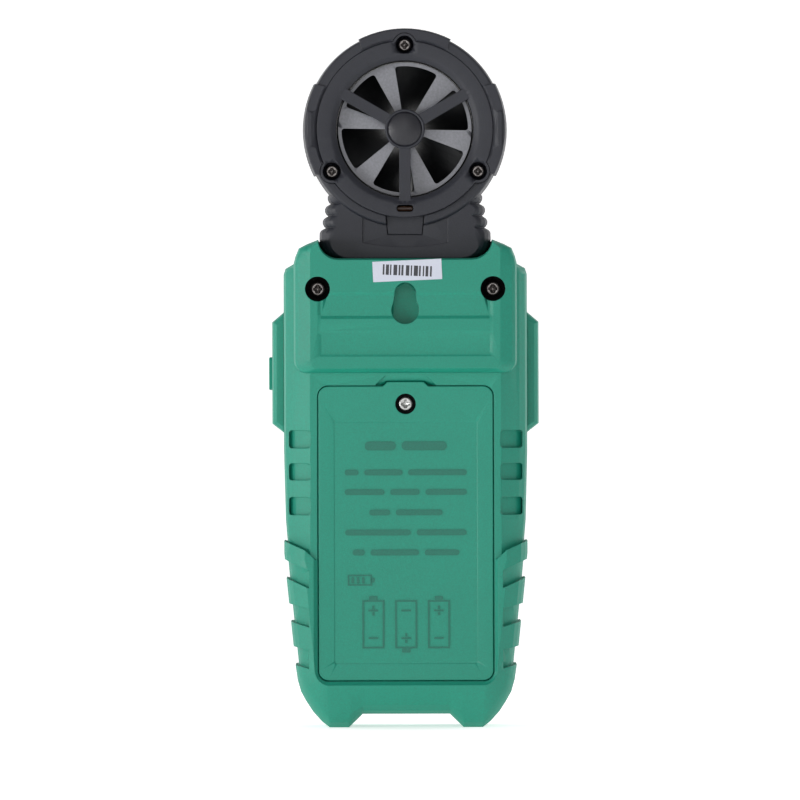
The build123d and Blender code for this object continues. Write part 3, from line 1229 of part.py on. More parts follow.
# ---------------------------------------------------------------- all pieces
def make_pieces():
    """Every piece of the meter, by name."""
    hub_back = HEAD_FRONT_Y + FRONT_HUB_L
    pieces = {
        "rear_case": make_rear_case(),
        "front_case": make_front_case(),
        "fascia": make_fascia(),
        "display_lens": make_display_lens(),
        "lcd_frame": make_lcd_frame(),
        "lcd_panel": make_lcd_panel(),
        "lcd_backlight": make_lcd_backlight(),
        "lcd_connector_strip": make_lcd_connector_strip(),
        "main_board": make_main_board(),
        "board_screws": make_board_screws(),
        "board_chips": make_board_chips(),
        "buzzer": make_buzzer(),
        "key_switches": make_key_switches(),
        "side_key": make_side_key(),
        "side_switch": make_side_switch(),
        "battery_door": make_battery_door(),
        "door_screw": make_door_screw(),
        "threaded_insert": make_threaded_insert(),
        "battery_pad": make_battery_pad(),
        "battery_springs": make_battery_springs(),
        "battery_contacts": make_battery_contacts(),
        "battery_leads": make_battery_leads(),
        "case_screws_upper": make_case_screws_upper(),
        "case_screws_lower": make_case_screws_lower(),
        "ring_screws": make_ring_screws(),
        "neck_rear": make_neck_rear(),
        "neck_front": make_neck_front(),
        "ring_cover": make_ring_cover(),
        "hub_cap": make_hub_cap(),
        "air_duct": make_air_duct(),
        "impeller": make_impeller(),
        "impeller_shaft": make_impeller_shaft(),
        "rotor_magnets": make_rotor_magnets(),
        "bearing_rear": make_bearing(HUB_Y[0]),
        "bearing_front": make_bearing(hub_back - BEARING_L),
        "sensor_board": make_sensor_board(),
        "hall_sensor": make_hall_sensor(),
        "thermistor": make_thermistor(),
        "sensor_lead": make_sensor_lead(),
        "serial_label": make_serial_label(),
    }
    for index in range(3):
        pieces[f"battery_{index + 1}"] = make_battery(index)
    for row, z in zip(KEY_NAMES, KEY_ROWS):
        for column, name in enumerate(row):
            pieces[name] = make_front_key(column, z)
    return pieces


def main():
    """Write one STEP file for each piece."""
    os.makedirs("parts", exist_ok=True)
    for name, shape in make_pieces().items():
        export_step(shape, f"parts/{name}.step")


main()
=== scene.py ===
"""Looks of the handheld weather meter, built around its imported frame.

Every piece of the frame gets a cleaned skin with soft edges and a procedural finish. The raised
marks on the battery door, the display's digits, the printed legends and the label are added.
Lengths are in metres. +Y points out of the back of the meter and +Z towards its vane head.
"""

import json
import math

import bmesh
import bpy
from bpy.props import FloatProperty, FloatVectorProperty, PointerProperty
from mathutils import Matrix, Vector


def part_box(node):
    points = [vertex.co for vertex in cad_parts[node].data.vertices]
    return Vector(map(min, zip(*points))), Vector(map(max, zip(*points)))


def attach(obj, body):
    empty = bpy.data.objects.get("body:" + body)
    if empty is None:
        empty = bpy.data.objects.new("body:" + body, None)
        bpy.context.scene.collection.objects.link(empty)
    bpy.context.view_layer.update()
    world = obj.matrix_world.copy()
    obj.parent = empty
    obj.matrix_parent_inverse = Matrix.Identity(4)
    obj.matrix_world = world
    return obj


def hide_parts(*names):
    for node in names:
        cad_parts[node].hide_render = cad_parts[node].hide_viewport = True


bl_info = {
    "name": "Weather meter finish",
    "version": (1, 0, 0),
    "blender": (4, 5, 0),
    "location": "View3D > Sidebar > Meter",
    "description": "Builds the finish of a handheld weather meter around its frame",
    "category": "Object",
}

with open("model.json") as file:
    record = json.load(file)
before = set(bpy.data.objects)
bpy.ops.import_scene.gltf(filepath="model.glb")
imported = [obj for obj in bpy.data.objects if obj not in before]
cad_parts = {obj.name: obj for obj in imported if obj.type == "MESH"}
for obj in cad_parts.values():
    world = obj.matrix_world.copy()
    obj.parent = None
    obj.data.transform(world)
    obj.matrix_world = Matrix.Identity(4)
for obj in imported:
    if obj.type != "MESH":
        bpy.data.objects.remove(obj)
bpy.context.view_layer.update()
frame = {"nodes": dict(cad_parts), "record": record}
NODES = frame["nodes"]
BODIES = frame["record"]["behaviour"]["bodies"]
BODY_OF = {node: body for body, nodes in BODIES.items() for node in nodes}
MM = 0.001
ROOT = "meter"


# ------------------------------------------------------------------ colours and nodes
def srgb(code):
    """Linear colour of an sRGB hex value."""
    parts = [int(code[i:i + 2], 16) / 255 for i in (0, 2, 4)]
    return tuple(c / 12.92 if c <= 0.04045 else ((c + 0.055) / 1.055) ** 2.4 for c in parts)


def shade(colour, factor):
    """The colour made lighter or darker, as RGBA."""
    return tuple(min(1.0, c * factor) for c in colour[:3]) + (1.0,)


def add(tree, kind, links=None, **settings):
    """Adds a node with its settings, and links or values for its inputs."""
    node = tree.nodes.new(kind)
    for name, value in settings.items():
        setattr(node, name, value)
    for socket, value in (links or {}).items():
        if isinstance(value, bpy.types.NodeSocket):
            tree.links.new(value, node.inputs[socket])
        else:
            node.inputs[socket].default_value = value
    return node


def blank(name):
    """A new material with its tree, its shader and Object coordinates."""
    material = bpy.data.materials.new(name)
    material.use_nodes = True
    tree = material.node_tree
    tree.nodes.clear()
    shader = add(tree, "ShaderNodeBsdfPrincipled")
    add(tree, "ShaderNodeOutputMaterial", {"Surface": shader.outputs[0]})
    place = add(tree, "ShaderNodeTexCoord").outputs["Object"]
    return material, tree, shader, place


def noise(tree, place, size, detail=2.0, roughness=0.5):
    """Noise whose blobs are about size across."""
    links = {"Vector": place, "Scale": 1 / size, "Detail": detail, "Roughness": roughness}
    return add(tree, "ShaderNodeTexNoise", links).outputs[0]


def mixed(tree, factor, first, second):
    """Colour between two colours or sockets."""
    node = add(tree, "ShaderNodeMix", {0: factor, 6: first, 7: second}, data_type="RGBA")
    return node.outputs[2]


def spread(tree, value, low, high, start=0.0, end=1.0):
    """Value moved from its own range to low..high."""
    links = {"Value": value, "From Min": start, "From Max": end, "To Min": low, "To Max": high}
    return add(tree, "ShaderNodeMapRange", links).outputs[0]


def bump(tree, shader, height, strength, depth, edge=0.0):
    """Relief of the given depth, over edges that look rounded to the given radius."""
    node = add(tree, "ShaderNodeBump", {"Strength": strength, "Distance": depth, "Height": height})
    if edge:
        rounded = add(tree, "ShaderNodeBevel", {"Radius": edge}, samples=6)
        tree.links.new(rounded.outputs[0], node.inputs["Normal"])
    tree.links.new(node.outputs[0], shader.inputs["Normal"])


def put(shader, **values):
    """Constant values on the shader's own sockets."""
    for name, value in values.items():
        shader.inputs[name.replace("_", " ")].default_value = value


# ------------------------------------------------------------------ finishes
def spark_eroded_abs(name, colour, grain, depth, roughness, contrast=0.10):
    """Injection-moulded ABS from a spark-eroded tool: a fine even grain that spreads highlights."""
    material, tree, shader, place = blank(name)
    grit = noise(tree, place, grain, 3.0, 0.6)
    cloud = noise(tree, place, 28 * MM, 2.0, 0.5)
    body = mixed(tree, spread(tree, cloud, 0.0, 1.0, 0.3, 0.7), shade(colour, 0.95), shade(colour, 1.05))
    light, dark = shade(colour, 1 + contrast), shade(colour, 1 - contrast)
    speckle = mixed(tree, spread(tree, grit, 0.0, 1.0, 0.3, 0.7), dark, light)
    tone = mixed(tree, 0.5, body, speckle)
    tree.links.new(tone, shader.inputs["Base Color"])
    satin = spread(tree, grit, roughness - 0.06, roughness + 0.08, 0.3, 0.7)
    tree.links.new(satin, shader.inputs["Roughness"])
    put(shader, IOR=1.54)
    bump(tree, shader, grit, 0.6, depth, bpy.context.scene.meter_finish.edge)
    return material


def polished_abs(name, colour, roughness):
    """ABS from a polished tool: smooth and darker, with faint flow waves that bend its highlights."""
    material, tree, shader, place = blank(name)
    waves = noise(tree, place, 6 * MM, 2.0, 0.4)
    dust = noise(tree, place, 0.5 * MM, 3.0, 0.6)
    tone = mixed(tree, spread(tree, dust, 0.0, 1.0, 0.35, 0.75), shade(colour, 0.9), shade(colour, 1.12))
    tree.links.new(tone, shader.inputs["Base Color"])
    satin = spread(tree, dust, roughness - 0.04, roughness + 0.08, 0.3, 0.7)
    tree.links.new(satin, shader.inputs["Roughness"])
    put(shader, IOR=1.54)
    bump(tree, shader, waves, 0.25, 0.05 * MM)
    return material


def rotor_abs(name, colour, land_sheen, land_y):
    """Black ABS of the impeller: its lands, level with land_y, get a painted grey sheen that stands for the
    light reflected by their flat tops.
    """
    material, tree, shader, place = blank(name)
    depth = add(tree, "ShaderNodeSeparateXYZ", {"Vector": place}).outputs[1]
    scuff = noise(tree, place, 0.7 * MM, 3.0, 0.6)
    # painted sheen: the flat lands level with land_y are coloured grey for the reflection of the light on
    # them, with a random speckle, and the rest stays black
    wear_and_painted_sheen = mixed(tree, spread(tree, scuff, 0.0, 1.0, 0.3, 0.7), shade(land_sheen, 0.85), shade(land_sheen, 1.15))
    sheen_mask = spread(tree, depth, 0.0, 1.0, land_y - 0.12 * MM, land_y - 0.05 * MM)
    tone = mixed(tree, sheen_mask, shade(colour, 1.0), wear_and_painted_sheen)
    tree.links.new(tone, shader.inputs["Base Color"])
    tree.links.new(spread(tree, scuff, 0.32, 0.46, 0.3, 0.7), shader.inputs["Roughness"])
    put(shader, IOR=1.54)
    bump(tree, shader, scuff, 0.3, 0.02 * MM)
    return material


def moulded_rubber(name, colour):
    """Moulded silicone rubber: matt, with a soft sheen and a very fine skin."""
    material, tree, shader, place = blank(name)
    skin = noise(tree, place, 0.3 * MM, 2.0, 0.6)
    wear = noise(tree, place, 4 * MM, 2.0, 0.5)
    tone = mixed(tree, spread(tree, wear, 0.0, 1.0, 0.3, 0.7), shade(colour, 0.92), shade(colour, 1.08))
    tree.links.new(tone, shader.inputs["Base Color"])
    tree.links.new(spread(tree, skin, 0.6, 0.75, 0.3, 0.7), shader.inputs["Roughness"])
    put(shader, IOR=1.45, Sheen_Weight=0.15, Sheen_Roughness=0.4)
    bump(tree, shader, skin, 0.4, 0.02 * MM)
    return material


def turned_metal(name, colour, roughness, line):
    """Turned or drawn metal: fine lines along its length break up the reflection."""
    material, tree, shader, place = blank(name)
    stretched = add(tree, "ShaderNodeMapping", {"Vector": place, "Scale": (1.0, 6.0, 1.0)}).outputs[0]
    lines = noise(tree, stretched, line, 2.0, 0.7)
    stain = noise(tree, place, 1.5 * MM, 2.0, 0.5)
    tone = mixed(tree, spread(tree, stain, 0.0, 1.0, 0.3, 0.7), shade(colour, 0.85), shade(colour, 1.08))
    tree.links.new(tone, shader.inputs["Base Color"])
    satin = spread(tree, lines, roughness - 0.07, roughness + 0.1, 0.3, 0.7)
    tree.links.new(satin, shader.inputs["Roughness"])
    put(shader, Metallic=1.0)
    bump(tree, shader, lines, 0.3, 0.01 * MM)
    return material


def clear_acrylic(name):
    """Polished acrylic window: clear, with a faint cool tint and very light hairlines."""
    material, tree, shader, place = blank(name)
    hairlines = noise(tree, place, 1.2 * MM, 3.0, 0.6)
    tree.links.new(spread(tree, hairlines, 0.02, 0.07, 0.4, 0.8), shader.inputs["Roughness"])
    put(shader, Base_Color=srgb("eef4f5") + (1.0,), IOR=1.49, Transmission_Weight=1.0)
    return material


def display_glass(name, colour):
    """Reflective liquid-crystal glass: grey-green, with a fine grid of unlit segments."""
    material, tree, shader, place = blank(name)
    links = {"Vector": place, "Scale": 1 / (3.1 * MM), "Detail": 0.0, "Distortion": 0.0}
    rows = add(tree, "ShaderNodeTexWave", links, bands_direction="Z").outputs[1]
    haze = noise(tree, place, 12 * MM, 2.0, 0.5)
    base = mixed(tree, spread(tree, haze, 0.0, 1.0, 0.3, 0.7), shade(colour, 0.95), shade(colour, 1.05))
    tone = mixed(tree, spread(tree, rows, 0.0, 0.06), base, shade(colour, 0.7))
    tree.links.new(tone, shader.inputs["Base Color"])
    put(shader, Roughness=0.25, IOR=1.52)
    return material


def printed_film(name, colour):
    """Back-printed polyester film: an even ink under a fine silk-matt surface."""
    material, tree, shader, place = blank(name)
    silk = noise(tree, place, 0.35 * MM, 2.0, 0.6)
    tone = mixed(tree, spread(tree, silk, 0.0, 1.0, 0.3, 0.7), shade(colour, 0.93), shade(colour, 1.08))
    tree.links.new(tone, shader.inputs["Base Color"])
    tree.links.new(spread(tree, silk, 0.33, 0.45, 0.3, 0.7), shader.inputs["Roughness"])
    put(shader, IOR=1.57)
    bump(tree, shader, silk, 0.3, 0.01 * MM)
    return material


def solder_mask(name, colour):
    """Glass-epoxy board under solder mask: deep green, with copper tracks showing through."""
    material, tree, shader, place = blank(name)
    links = {"Vector": place, "Scale": 1 / (2.4 * MM), "Randomness": 0.7}
    cells = add(tree, "ShaderNodeTexVoronoi", links, distance="MANHATTAN", feature="F1").outputs[0]
    tracks = spread(tree, cells, 0.0, 1.0, 0.48, 0.52)
    tree.links.new(mixed(tree, tracks, shade(colour, 0.8), shade(colour, 1.7)), shader.inputs["Base Color"])
    put(shader, Roughness=0.3, IOR=1.55)
    bump(tree, shader, tracks, 0.5, 0.03 * MM)
    return material


def cell_sleeve(name, colour, band):
    """Printed sleeve of a dry cell: a dark body with a metallic band near its ends."""
    material, tree, shader, place = blank(name)
    height = add(tree, "ShaderNodeSeparateXYZ", {"Vector": place}).outputs[2]
    ring = spread(tree, height, 0.0, 1.0, 60 * MM, 60.4 * MM)
    scuff = noise(tree, place, 1.8 * MM, 3.0, 0.6)
    tone = mixed(tree, ring, shade(colour, 1.0), shade(band, 1.0))
    wear_and_painted_sheen = mixed(tree, spread(tree, scuff, 0.0, 0.35, 0.55, 0.8), tone, shade(band, 0.8))
    tree.links.new(wear_and_painted_sheen, shader.inputs["Base Color"])
    tree.links.new(spread(tree, scuff, 0.25, 0.4, 0.3, 0.7), shader.inputs["Roughness"])
    put(shader, Metallic=0.55)
    return material


def open_cell_foam(name, colour):
    """Polyurethane foam: matt, full of small open pores."""
    material, tree, shader, place = blank(name)
    links = {"Vector": place, "Scale": 1 / (0.7 * MM)}
    pores = add(tree, "ShaderNodeTexVoronoi", links, feature="SMOOTH_F1").outputs[0]
    tree.links.new(mixed(tree, pores, shade(colour, 0.4), shade(colour, 1.5)), shader.inputs["Base Color"])
    put(shader, Roughness=0.95, IOR=1.4)
    bump(tree, shader, pores, 0.9, 0.2 * MM)
    return material


def coated_paper(name, colour):
    """Coated label paper: white, slightly cool, with faint fibres."""
    material, tree, shader, place = blank(name)
    fibres = noise(tree, place, 0.6 * MM, 4.0, 0.65)
    tone = mixed(tree, spread(tree, fibres, 0.0, 1.0, 0.3, 0.7), shade(colour, 0.96), shade(colour, 1.02))
    tree.links.new(tone, shader.inputs["Base Color"])
    tree.links.new(spread(tree, fibres, 0.42, 0.6, 0.3, 0.7), shader.inputs["Roughness"])
    put(shader, IOR=1.5)
    bump(tree, shader, fibres, 0.3, 0.01 * MM)
    return material


def light_table(name, colour, glow):
    """Translucent plastic sheet of a light table: matt, pale, and glowing softly from below."""
    material, tree, shader, place = blank(name)
    tooth = noise(tree, place, 2.5 * MM, 3.0, 0.6)
    tone = mixed(tree, spread(tree, tooth, 0.0, 1.0, 0.3, 0.7), shade(colour, 0.995), shade(colour, 1.0))
    tree.links.new(tone, shader.inputs["Base Color"])
    put(shader, Roughness=0.9, IOR=1.4, Emission_Color=(1.0, 1.0, 1.0, 1.0), Emission_Strength=glow)
    return material


FINISHES = {}


def finish(name):
    """The shared material of that name, made when it is first asked for."""
    if name in FINISHES:
        return FINISHES[name]
    look = bpy.context.scene.meter_finish
    stage = bpy.context.scene.meter_stage
    grain = look.grain
    makers = {
        "green_abs": lambda n: spark_eroded_abs(n, look.green, grain, 0.05 * MM, 0.50, 0.22),
        "door_green_abs": lambda n: spark_eroded_abs(n, look.green, grain * 0.8, 0.05 * MM, 0.46, 0.22),
        "green_rubber": lambda n: moulded_rubber(n, look.green),
        "graphite_abs": lambda n: spark_eroded_abs(n, look.head, grain, 0.06 * MM, 0.52, 0.6),
        "satin_graphite_abs": lambda n: spark_eroded_abs(n, look.cap, grain * 0.7, 0.03 * MM, 0.42, 0.3),
        "polished_green_abs": lambda n: polished_abs(n, shade(look.green, 0.62), 0.4),
        # black for the neck seal, and the painted shade in the screw recesses
        "black_abs_and_painted_well_shade": lambda n: polished_abs(n, srgb("0c0d0e"), 0.45),
        # the impeller's lands get a painted grey sheen
        "black_rotor_abs": lambda n: rotor_abs(n, look.rotor, look.land_sheen, ROTOR_LAND_Y * MM),
        "black_duct_abs": lambda n: polished_abs(n, look.rotor, 0.22),
        "grey_silicone": lambda n: moulded_rubber(n, srgb("85878a")),
        "red_pvc": lambda n: moulded_rubber(n, srgb("9c2320")),
        "display_rubber": lambda n: moulded_rubber(n, srgb("2c2d30")),
        "zinc_plated_steel": lambda n: turned_metal(n, srgb("c3c4c2"), 0.32, 0.3 * MM),
        "ground_magnet": lambda n: turned_metal(n, srgb("a9aaac"), 0.4, 0.25 * MM),
        "turned_brass": lambda n: turned_metal(n, srgb("d0ac62"), 0.3, 0.25 * MM),
        "nickel_plated_steel": lambda n: turned_metal(n, srgb("8d8886"), 0.3, 0.3 * MM),
        "clear_acrylic": clear_acrylic,
        "display_glass": lambda n: display_glass(n, srgb("a9b3a0")),
        "milky_acrylic": lambda n: polished_abs(n, srgb("e6e8e2"), 0.35),
        "white_nylon": lambda n: spark_eroded_abs(n, srgb("d5d5cf"), grain, 0.02 * MM, 0.5),
        "black_nylon": lambda n: spark_eroded_abs(n, srgb("2a2b2d"), grain, 0.02 * MM, 0.5),
        "black_film": lambda n: printed_film(n, srgb("2b2d31")),
        "white_ink": lambda n: printed_film(n, srgb("dcdedd")),
        "dark_ink": lambda n: printed_film(n, srgb("2b2c33")),
        "display_ink": lambda n: printed_film(n, srgb("1c211d")),
        "solder_mask": lambda n: solder_mask(n, srgb("1c5a35")),
        "cell_sleeve": lambda n: cell_sleeve(n, srgb("27304c"), srgb("c58a4a")),
        "black_foam": lambda n: open_cell_foam(n, srgb("3a3a3a")),
        "brown_resin": lambda n: polished_abs(n, srgb("6b4a36"), 0.3),
        "label_paper": lambda n: coated_paper(n, look.label),
        "light_table": lambda n: light_table(n, stage.paper, stage.glow),
    }
    FINISHES[name] = makers[name](name)
    return FINISHES[name]


# ------------------------------------------------------------------ pieces
def place_mesh(name, bm, material, body, sharp=30.0):
    """Object from a bmesh, with smooth shading up to the sharp angle."""
    mesh = bpy.data.meshes.new(name)
    bm.to_mesh(mesh)
    bm.free()
    mesh.shade_smooth()
    mesh.set_sharp_from_angle(angle=math.radians(sharp))
    mesh.materials.clear()
    mesh.materials.append(finish(material))
    piece = bpy.data.objects.new(name, mesh)
    bpy.context.scene.collection.objects.link(piece)
    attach(piece, body)
    return piece


def skin(node, material, sharp=30.0):
    """Cleaned copy of a frame node in the node's place."""
    bm = bmesh.new()
    bm.from_mesh(NODES[node].data)
    bmesh.ops.remove_doubles(bm, verts=bm.verts, dist=0.002 * MM)
    piece = place_mesh(node + "_skin", bm, material, BODY_OF[node], sharp)
    flats = piece.modifiers.new("even_flats", "WEIGHTED_NORMAL")
    flats.keep_sharp = True
    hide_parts(node)
    return piece


def paint_well_shade(piece, places, radius, rim_y):
    """Painted shade for screw recesses: the faces around each (x, z), below the rim, are painted black;
    millimetres.
    """
    piece.data.materials.append(finish("black_abs_and_painted_well_shade"))
    for face in piece.data.polygons:
        x, y, z = face.center / MM
        if y < rim_y and any(math.hypot(x - wx, z - wz) < radius for wx, wz in places):
            face.material_index = 1


def plate(bm, x, z, w, h, y0, y1, r=0.0, turn=0.0):
    """Adds a small plate with rounded corners that faces along Y; sizes in millimetres."""
    made = bmesh.ops.create_cube(bm, size=1.0)["verts"]
    bmesh.ops.scale(bm, vec=(w * MM, (y1 - y0) * MM, h * MM), verts=made)
    if r:
        edges = dict.fromkeys(e for v in made for e in v.link_edges)
        upright = [e for e in edges if abs(e.verts[0].co.y - e.verts[1].co.y) > (y1 - y0) * MM / 2]
        bevelled = bmesh.ops.bevel(bm, geom=upright, offset=r * MM, offset_type="OFFSET", segments=4,
                                   profile=0.5, affect="EDGES", material=-1)
        made = list({v for v in made if v.is_valid} | set(bevelled["verts"]))
    rotation = Matrix.Rotation(math.radians(turn), 4, "Y")
    shift = Matrix.Translation(Vector((x, (y0 + y1) / 2, z)) * MM)
    bmesh.ops.transform(bm, matrix=shift @ rotation, verts=made)


def frame_plate(bm, x, z, w, h, t, y0, y1):
    """Adds a rectangular outline of line width t."""
    made = bmesh.ops.create_cube(bm, size=1.0)["verts"]
    bmesh.ops.scale(bm, vec=(w * MM, (y1 - y0) * MM, h * MM), verts=made)
    cube = set(made)
    sides = [f for f in bm.faces if f.verts[0] in cube]
    faces = [f for f in sides if len({round(v.co.y, 7) for v in f.verts}) == 1]
    bmesh.ops.inset_individual(bm, faces=faces, thickness=t * MM, use_even_offset=True)
    rims = [e for f in faces for e in f.edges]
    inner = {v for f in faces for v in f.verts}
    bmesh.ops.delete(bm, geom=faces, context="FACES_ONLY")
    bmesh.ops.bridge_loops(bm, edges=rims)
    shift = Matrix.Translation(Vector((x, (y0 + y1) / 2, z)) * MM)
    bmesh.ops.transform(bm, matrix=shift, verts=list(cube | inner))


def closed(bm):
    """Turns every face outwards."""
    bmesh.ops.recalc_face_normals(bm, faces=bm.faces)


# seven-segment digits: top, upper left, upper right, middle, lower left, lower right and bottom; 1 is on
SEGMENTS = {0: "1110111", 1: "0010010", 2: "1011101", 3: "1011011", 4: "0111010", 5: "1101011",
            6: "1101111", 7: "1010010", 8: "1111111", 9: "1111011"}


def digit(bm, value, x, z, w, h, t, y0, y1):
    """Adds one seven-segment digit; +x is the reader's right."""
    half = h / 2
    places = ((0, half, w, t), (-w / 2, half / 2, t, half), (w / 2, half / 2, t, half), (0, 0, w, t),
              (-w / 2, -half / 2, t, half), (w / 2, -half / 2, t, half), (0, -half, w, t))
    for (dx, dz, length, height), lit in zip(places, SEGMENTS[value]):
        if lit == "1":
            wide = max(length, height) - t * 1.3
            size = (wide, t) if length > height else (t, wide)
            plate(bm, x + dx, z + dz, size[0], size[1], y0, y1, t * 0.3)


# ------------------------------------------------------------------ properties
class MeterFinish(bpy.types.PropertyGroup):
    """Colours and fine sizes of the meter's surfaces."""

    green: FloatVectorProperty(name="Case green", description="Green of the case and the battery door",
                               subtype="COLOR", size=3, min=0.0, max=1.0, default=srgb("07866f"))
    head: FloatVectorProperty(name="Head grey", description="Graphite of the neck, head and ring cover",
                              subtype="COLOR", size=3, min=0.0, max=1.0, default=srgb("1a1c26"))
    cap: FloatVectorProperty(name="Hub cap grey", description="Colour of the cap over the rotor's hub",
                             subtype="COLOR", size=3, min=0.0, max=1.0, default=srgb("17171f"))
    rotor: FloatVectorProperty(name="Rotor black", description="Black of the impeller and its duct",
                               subtype="COLOR", size=3, min=0.0, max=1.0, default=srgb("0f1012"))
    # painted sheen: this grey stands for the light reflected by the impeller's flat lands, not a colour of
    # their own
    land_sheen: FloatVectorProperty(name="Rotor lands", description="Grey of the scuffed flat parts of the impeller",
                              subtype="COLOR", size=3, min=0.0, max=1.0, default=srgb("7d7e84"))
    label: FloatVectorProperty(name="Label white", description="Colour of the paper label",
                               subtype="COLOR", size=3, min=0.0, max=1.0, default=srgb("c9cdda"))
    grain: FloatProperty(name="Moulded grain", description="Size of the grain on the moulded plastic",
                         subtype="DISTANCE", unit="LENGTH", min=0.0001, max=0.005, precision=5,
                         default=0.0005)
    edge: FloatProperty(name="Edge softness", description="Width of the softened edges of the case",
                        subtype="DISTANCE", unit="LENGTH", min=0.0, max=0.002, precision=5, default=0.0003)
    mark: FloatProperty(name="Mark height", description="How far the marks stand out of the door's panel",
                        subtype="DISTANCE", unit="LENGTH", min=0.00002, max=0.0003, precision=5,
                        default=0.00018)


class MeterStage(bpy.types.PropertyGroup):
    """Light table, lights and camera."""

    paper: FloatVectorProperty(name="Table", description="Colour of the table that sweeps up behind the meter",
                               subtype="COLOR", size=3, min=0.0, max=1.0, default=srgb("f6f6f6"))
    key: FloatProperty(name="Key light", description="Power of the large light at the lower left",
                       unit="POWER", min=0.0, default=9.4)
    fill: FloatProperty(name="Fill light", description="Power of the wide light beside the camera",
                        unit="POWER", min=0.0, default=2.6)
    rim: FloatProperty(name="Rim lights", description="Power of the two lights beside the meter",
                       unit="POWER", min=0.0, default=0.9)
    glow: FloatProperty(name="Table glow", description="Strength of the light through the table",
                        min=0.0, default=0.55)
    sky: FloatProperty(name="Room light", description="Strength of the even light from all round",
                       min=0.0, default=0.32)
    distance: FloatProperty(name="Camera distance", description="From the camera to the back of the meter",
                            subtype="DISTANCE", unit="LENGTH", min=0.2, default=3.0)
    field: FloatProperty(name="Field of view", description="Width of the picture at the back of the meter",
                         subtype="DISTANCE", unit="LENGTH", min=0.05, default=0.2317)


# ------------------------------------------------------------------ operators
class METER_OT_case(bpy.types.Operator):
    """Finish the front and rear case"""

    bl_idname = "meter.case"
    bl_label = "Case"

    def execute(self, context):
        rear = skin("rear_case", "green_abs", SHELL_SHARP)
        # the screw recesses of the case are painted black as shade
        paint_well_shade(rear, CASE_WELLS, CASE_WELL_R, CASE_WELL_RIM)
        skin("front_case", "green_abs", SHELL_SHARP)
        return {"FINISHED"}


class METER_OT_door(bpy.types.Operator):
    """Finish the battery door and raise its marks"""

    bl_idname = "meter.door"
    bl_label = "Battery door"

    def execute(self, context):
        look = context.scene.meter_finish
        door = skin("battery_door", "door_green_abs", SHELL_SHARP)
        # the screw recess of the door is painted black as shade
        paint_well_shade(door, DOOR_WELLS, DOOR_WELL_R, DOOR_WELL_RIM)
        skin("battery_pad", "black_foam")
        skin("door_screw", "zinc_plated_steel")
        y0 = DOOR_FACE_Y - 0.1
        y1 = DOOR_FACE_Y + look.mark / MM
        bm = bmesh.new()
        for z, height, words in MARK_ROWS:
            total = sum(words) + MARK_GAP * (len(words) - 1)
            x = total / 2
            for word in words:
                plate(bm, x - word / 2, z, word, height, y0, y1, height * 0.45)
                x -= word + MARK_GAP
        # small battery symbol: outline, tip and three charge bars
        frame_plate(bm, 13.4, CHARGE_Z, 7.0, 3.2, 0.45, y0, y1)
        plate(bm, 9.6, CHARGE_Z, 0.8, 1.4, y0, y1, 0.3)
        for i in range(3):
            plate(bm, 15.4 - i * 1.5, CHARGE_Z, 0.8, 1.8, y0, y1, 0.2)
        # how the cells lie: outline, tip, plus sign of a bar and two stubs, minus sign
        for i, sign in enumerate((1, -1, 1)):
            x = CELL_PITCH * (1 - i)
            frame_plate(bm, x, CELL_MARK_Z, 6.4, 14.0, 0.5, y0, y1)
            plate(bm, x, CELL_MARK_Z + sign * 7.6, 2.4, 1.2, y0, y1, 0.3)
            plate(bm, x, CELL_MARK_Z + sign * 4.0, 2.8, 0.6, y0, y1, 0.2)
            plate(bm, x, CELL_MARK_Z + sign * 4.95, 0.6, 0.98, y0, y1)
            plate(bm, x, CELL_MARK_Z + sign * 3.05, 0.6, 0.98, y0, y1)
            plate(bm, x, CELL_MARK_Z - sign * 4.0, 2.8, 0.6, y0, y1, 0.2)
        closed(bm)
        place_mesh("door_marks", bm, "polished_green_abs", BODY_OF["battery_door"])
        return {"FINISHED"}


class METER_OT_head(bpy.types.Operator):
    """Finish the neck, the head, the ring cover and the hub cap"""

    bl_idname = "meter.head"
    bl_label = "Vane head"

    def execute(self, context):
        skin("neck_rear", "graphite_abs", SHELL_SHARP)
        skin("neck_front", "graphite_abs", SHELL_SHARP)
        skin("ring_cover", "graphite_abs", sharp=22.0)
        skin("hub_cap", "satin_graphite_abs", sharp=40.0)
        skin("air_duct", "black_duct_abs")
        bm = bmesh.new()
        for side in (1, -1):
            plate(bm, side * SEAL_X, SEAL_Z, SEAL_SIZE[0], SEAL_SIZE[1], -SEAL_HALF_T, SEAL_HALF_T, SEAL_R)
        closed(bm)
        place_mesh("neck_seal", bm, "black_abs_and_painted_well_shade", ROOT)
        return {"FINISHED"}


class METER_OT_rotor(bpy.types.Operator):
    """Finish the impeller with its shaft, magnets and bearings"""

    bl_idname = "meter.rotor"
    bl_label = "Rotor"

    def execute(self, context):
        skin("impeller", "black_rotor_abs")
        skin("impeller_shaft", "zinc_plated_steel")
        skin("rotor_magnets", "ground_magnet")
        skin("bearing_front", "turned_brass")
        skin("bearing_rear", "turned_brass")
        return {"FINISHED"}


class METER_OT_fasteners(bpy.types.Operator):
    """Finish the screws and the threaded insert"""

    bl_idname = "meter.fasteners"
    bl_label = "Fasteners"

    def execute(self, context):
        skin("case_screws_upper", "nickel_plated_steel")
        skin("ring_screws", "nickel_plated_steel")
        skin("case_screws_lower", "zinc_plated_steel")
        skin("board_screws", "zinc_plated_steel")
        skin("threaded_insert", "turned_brass")
        return {"FINISHED"}


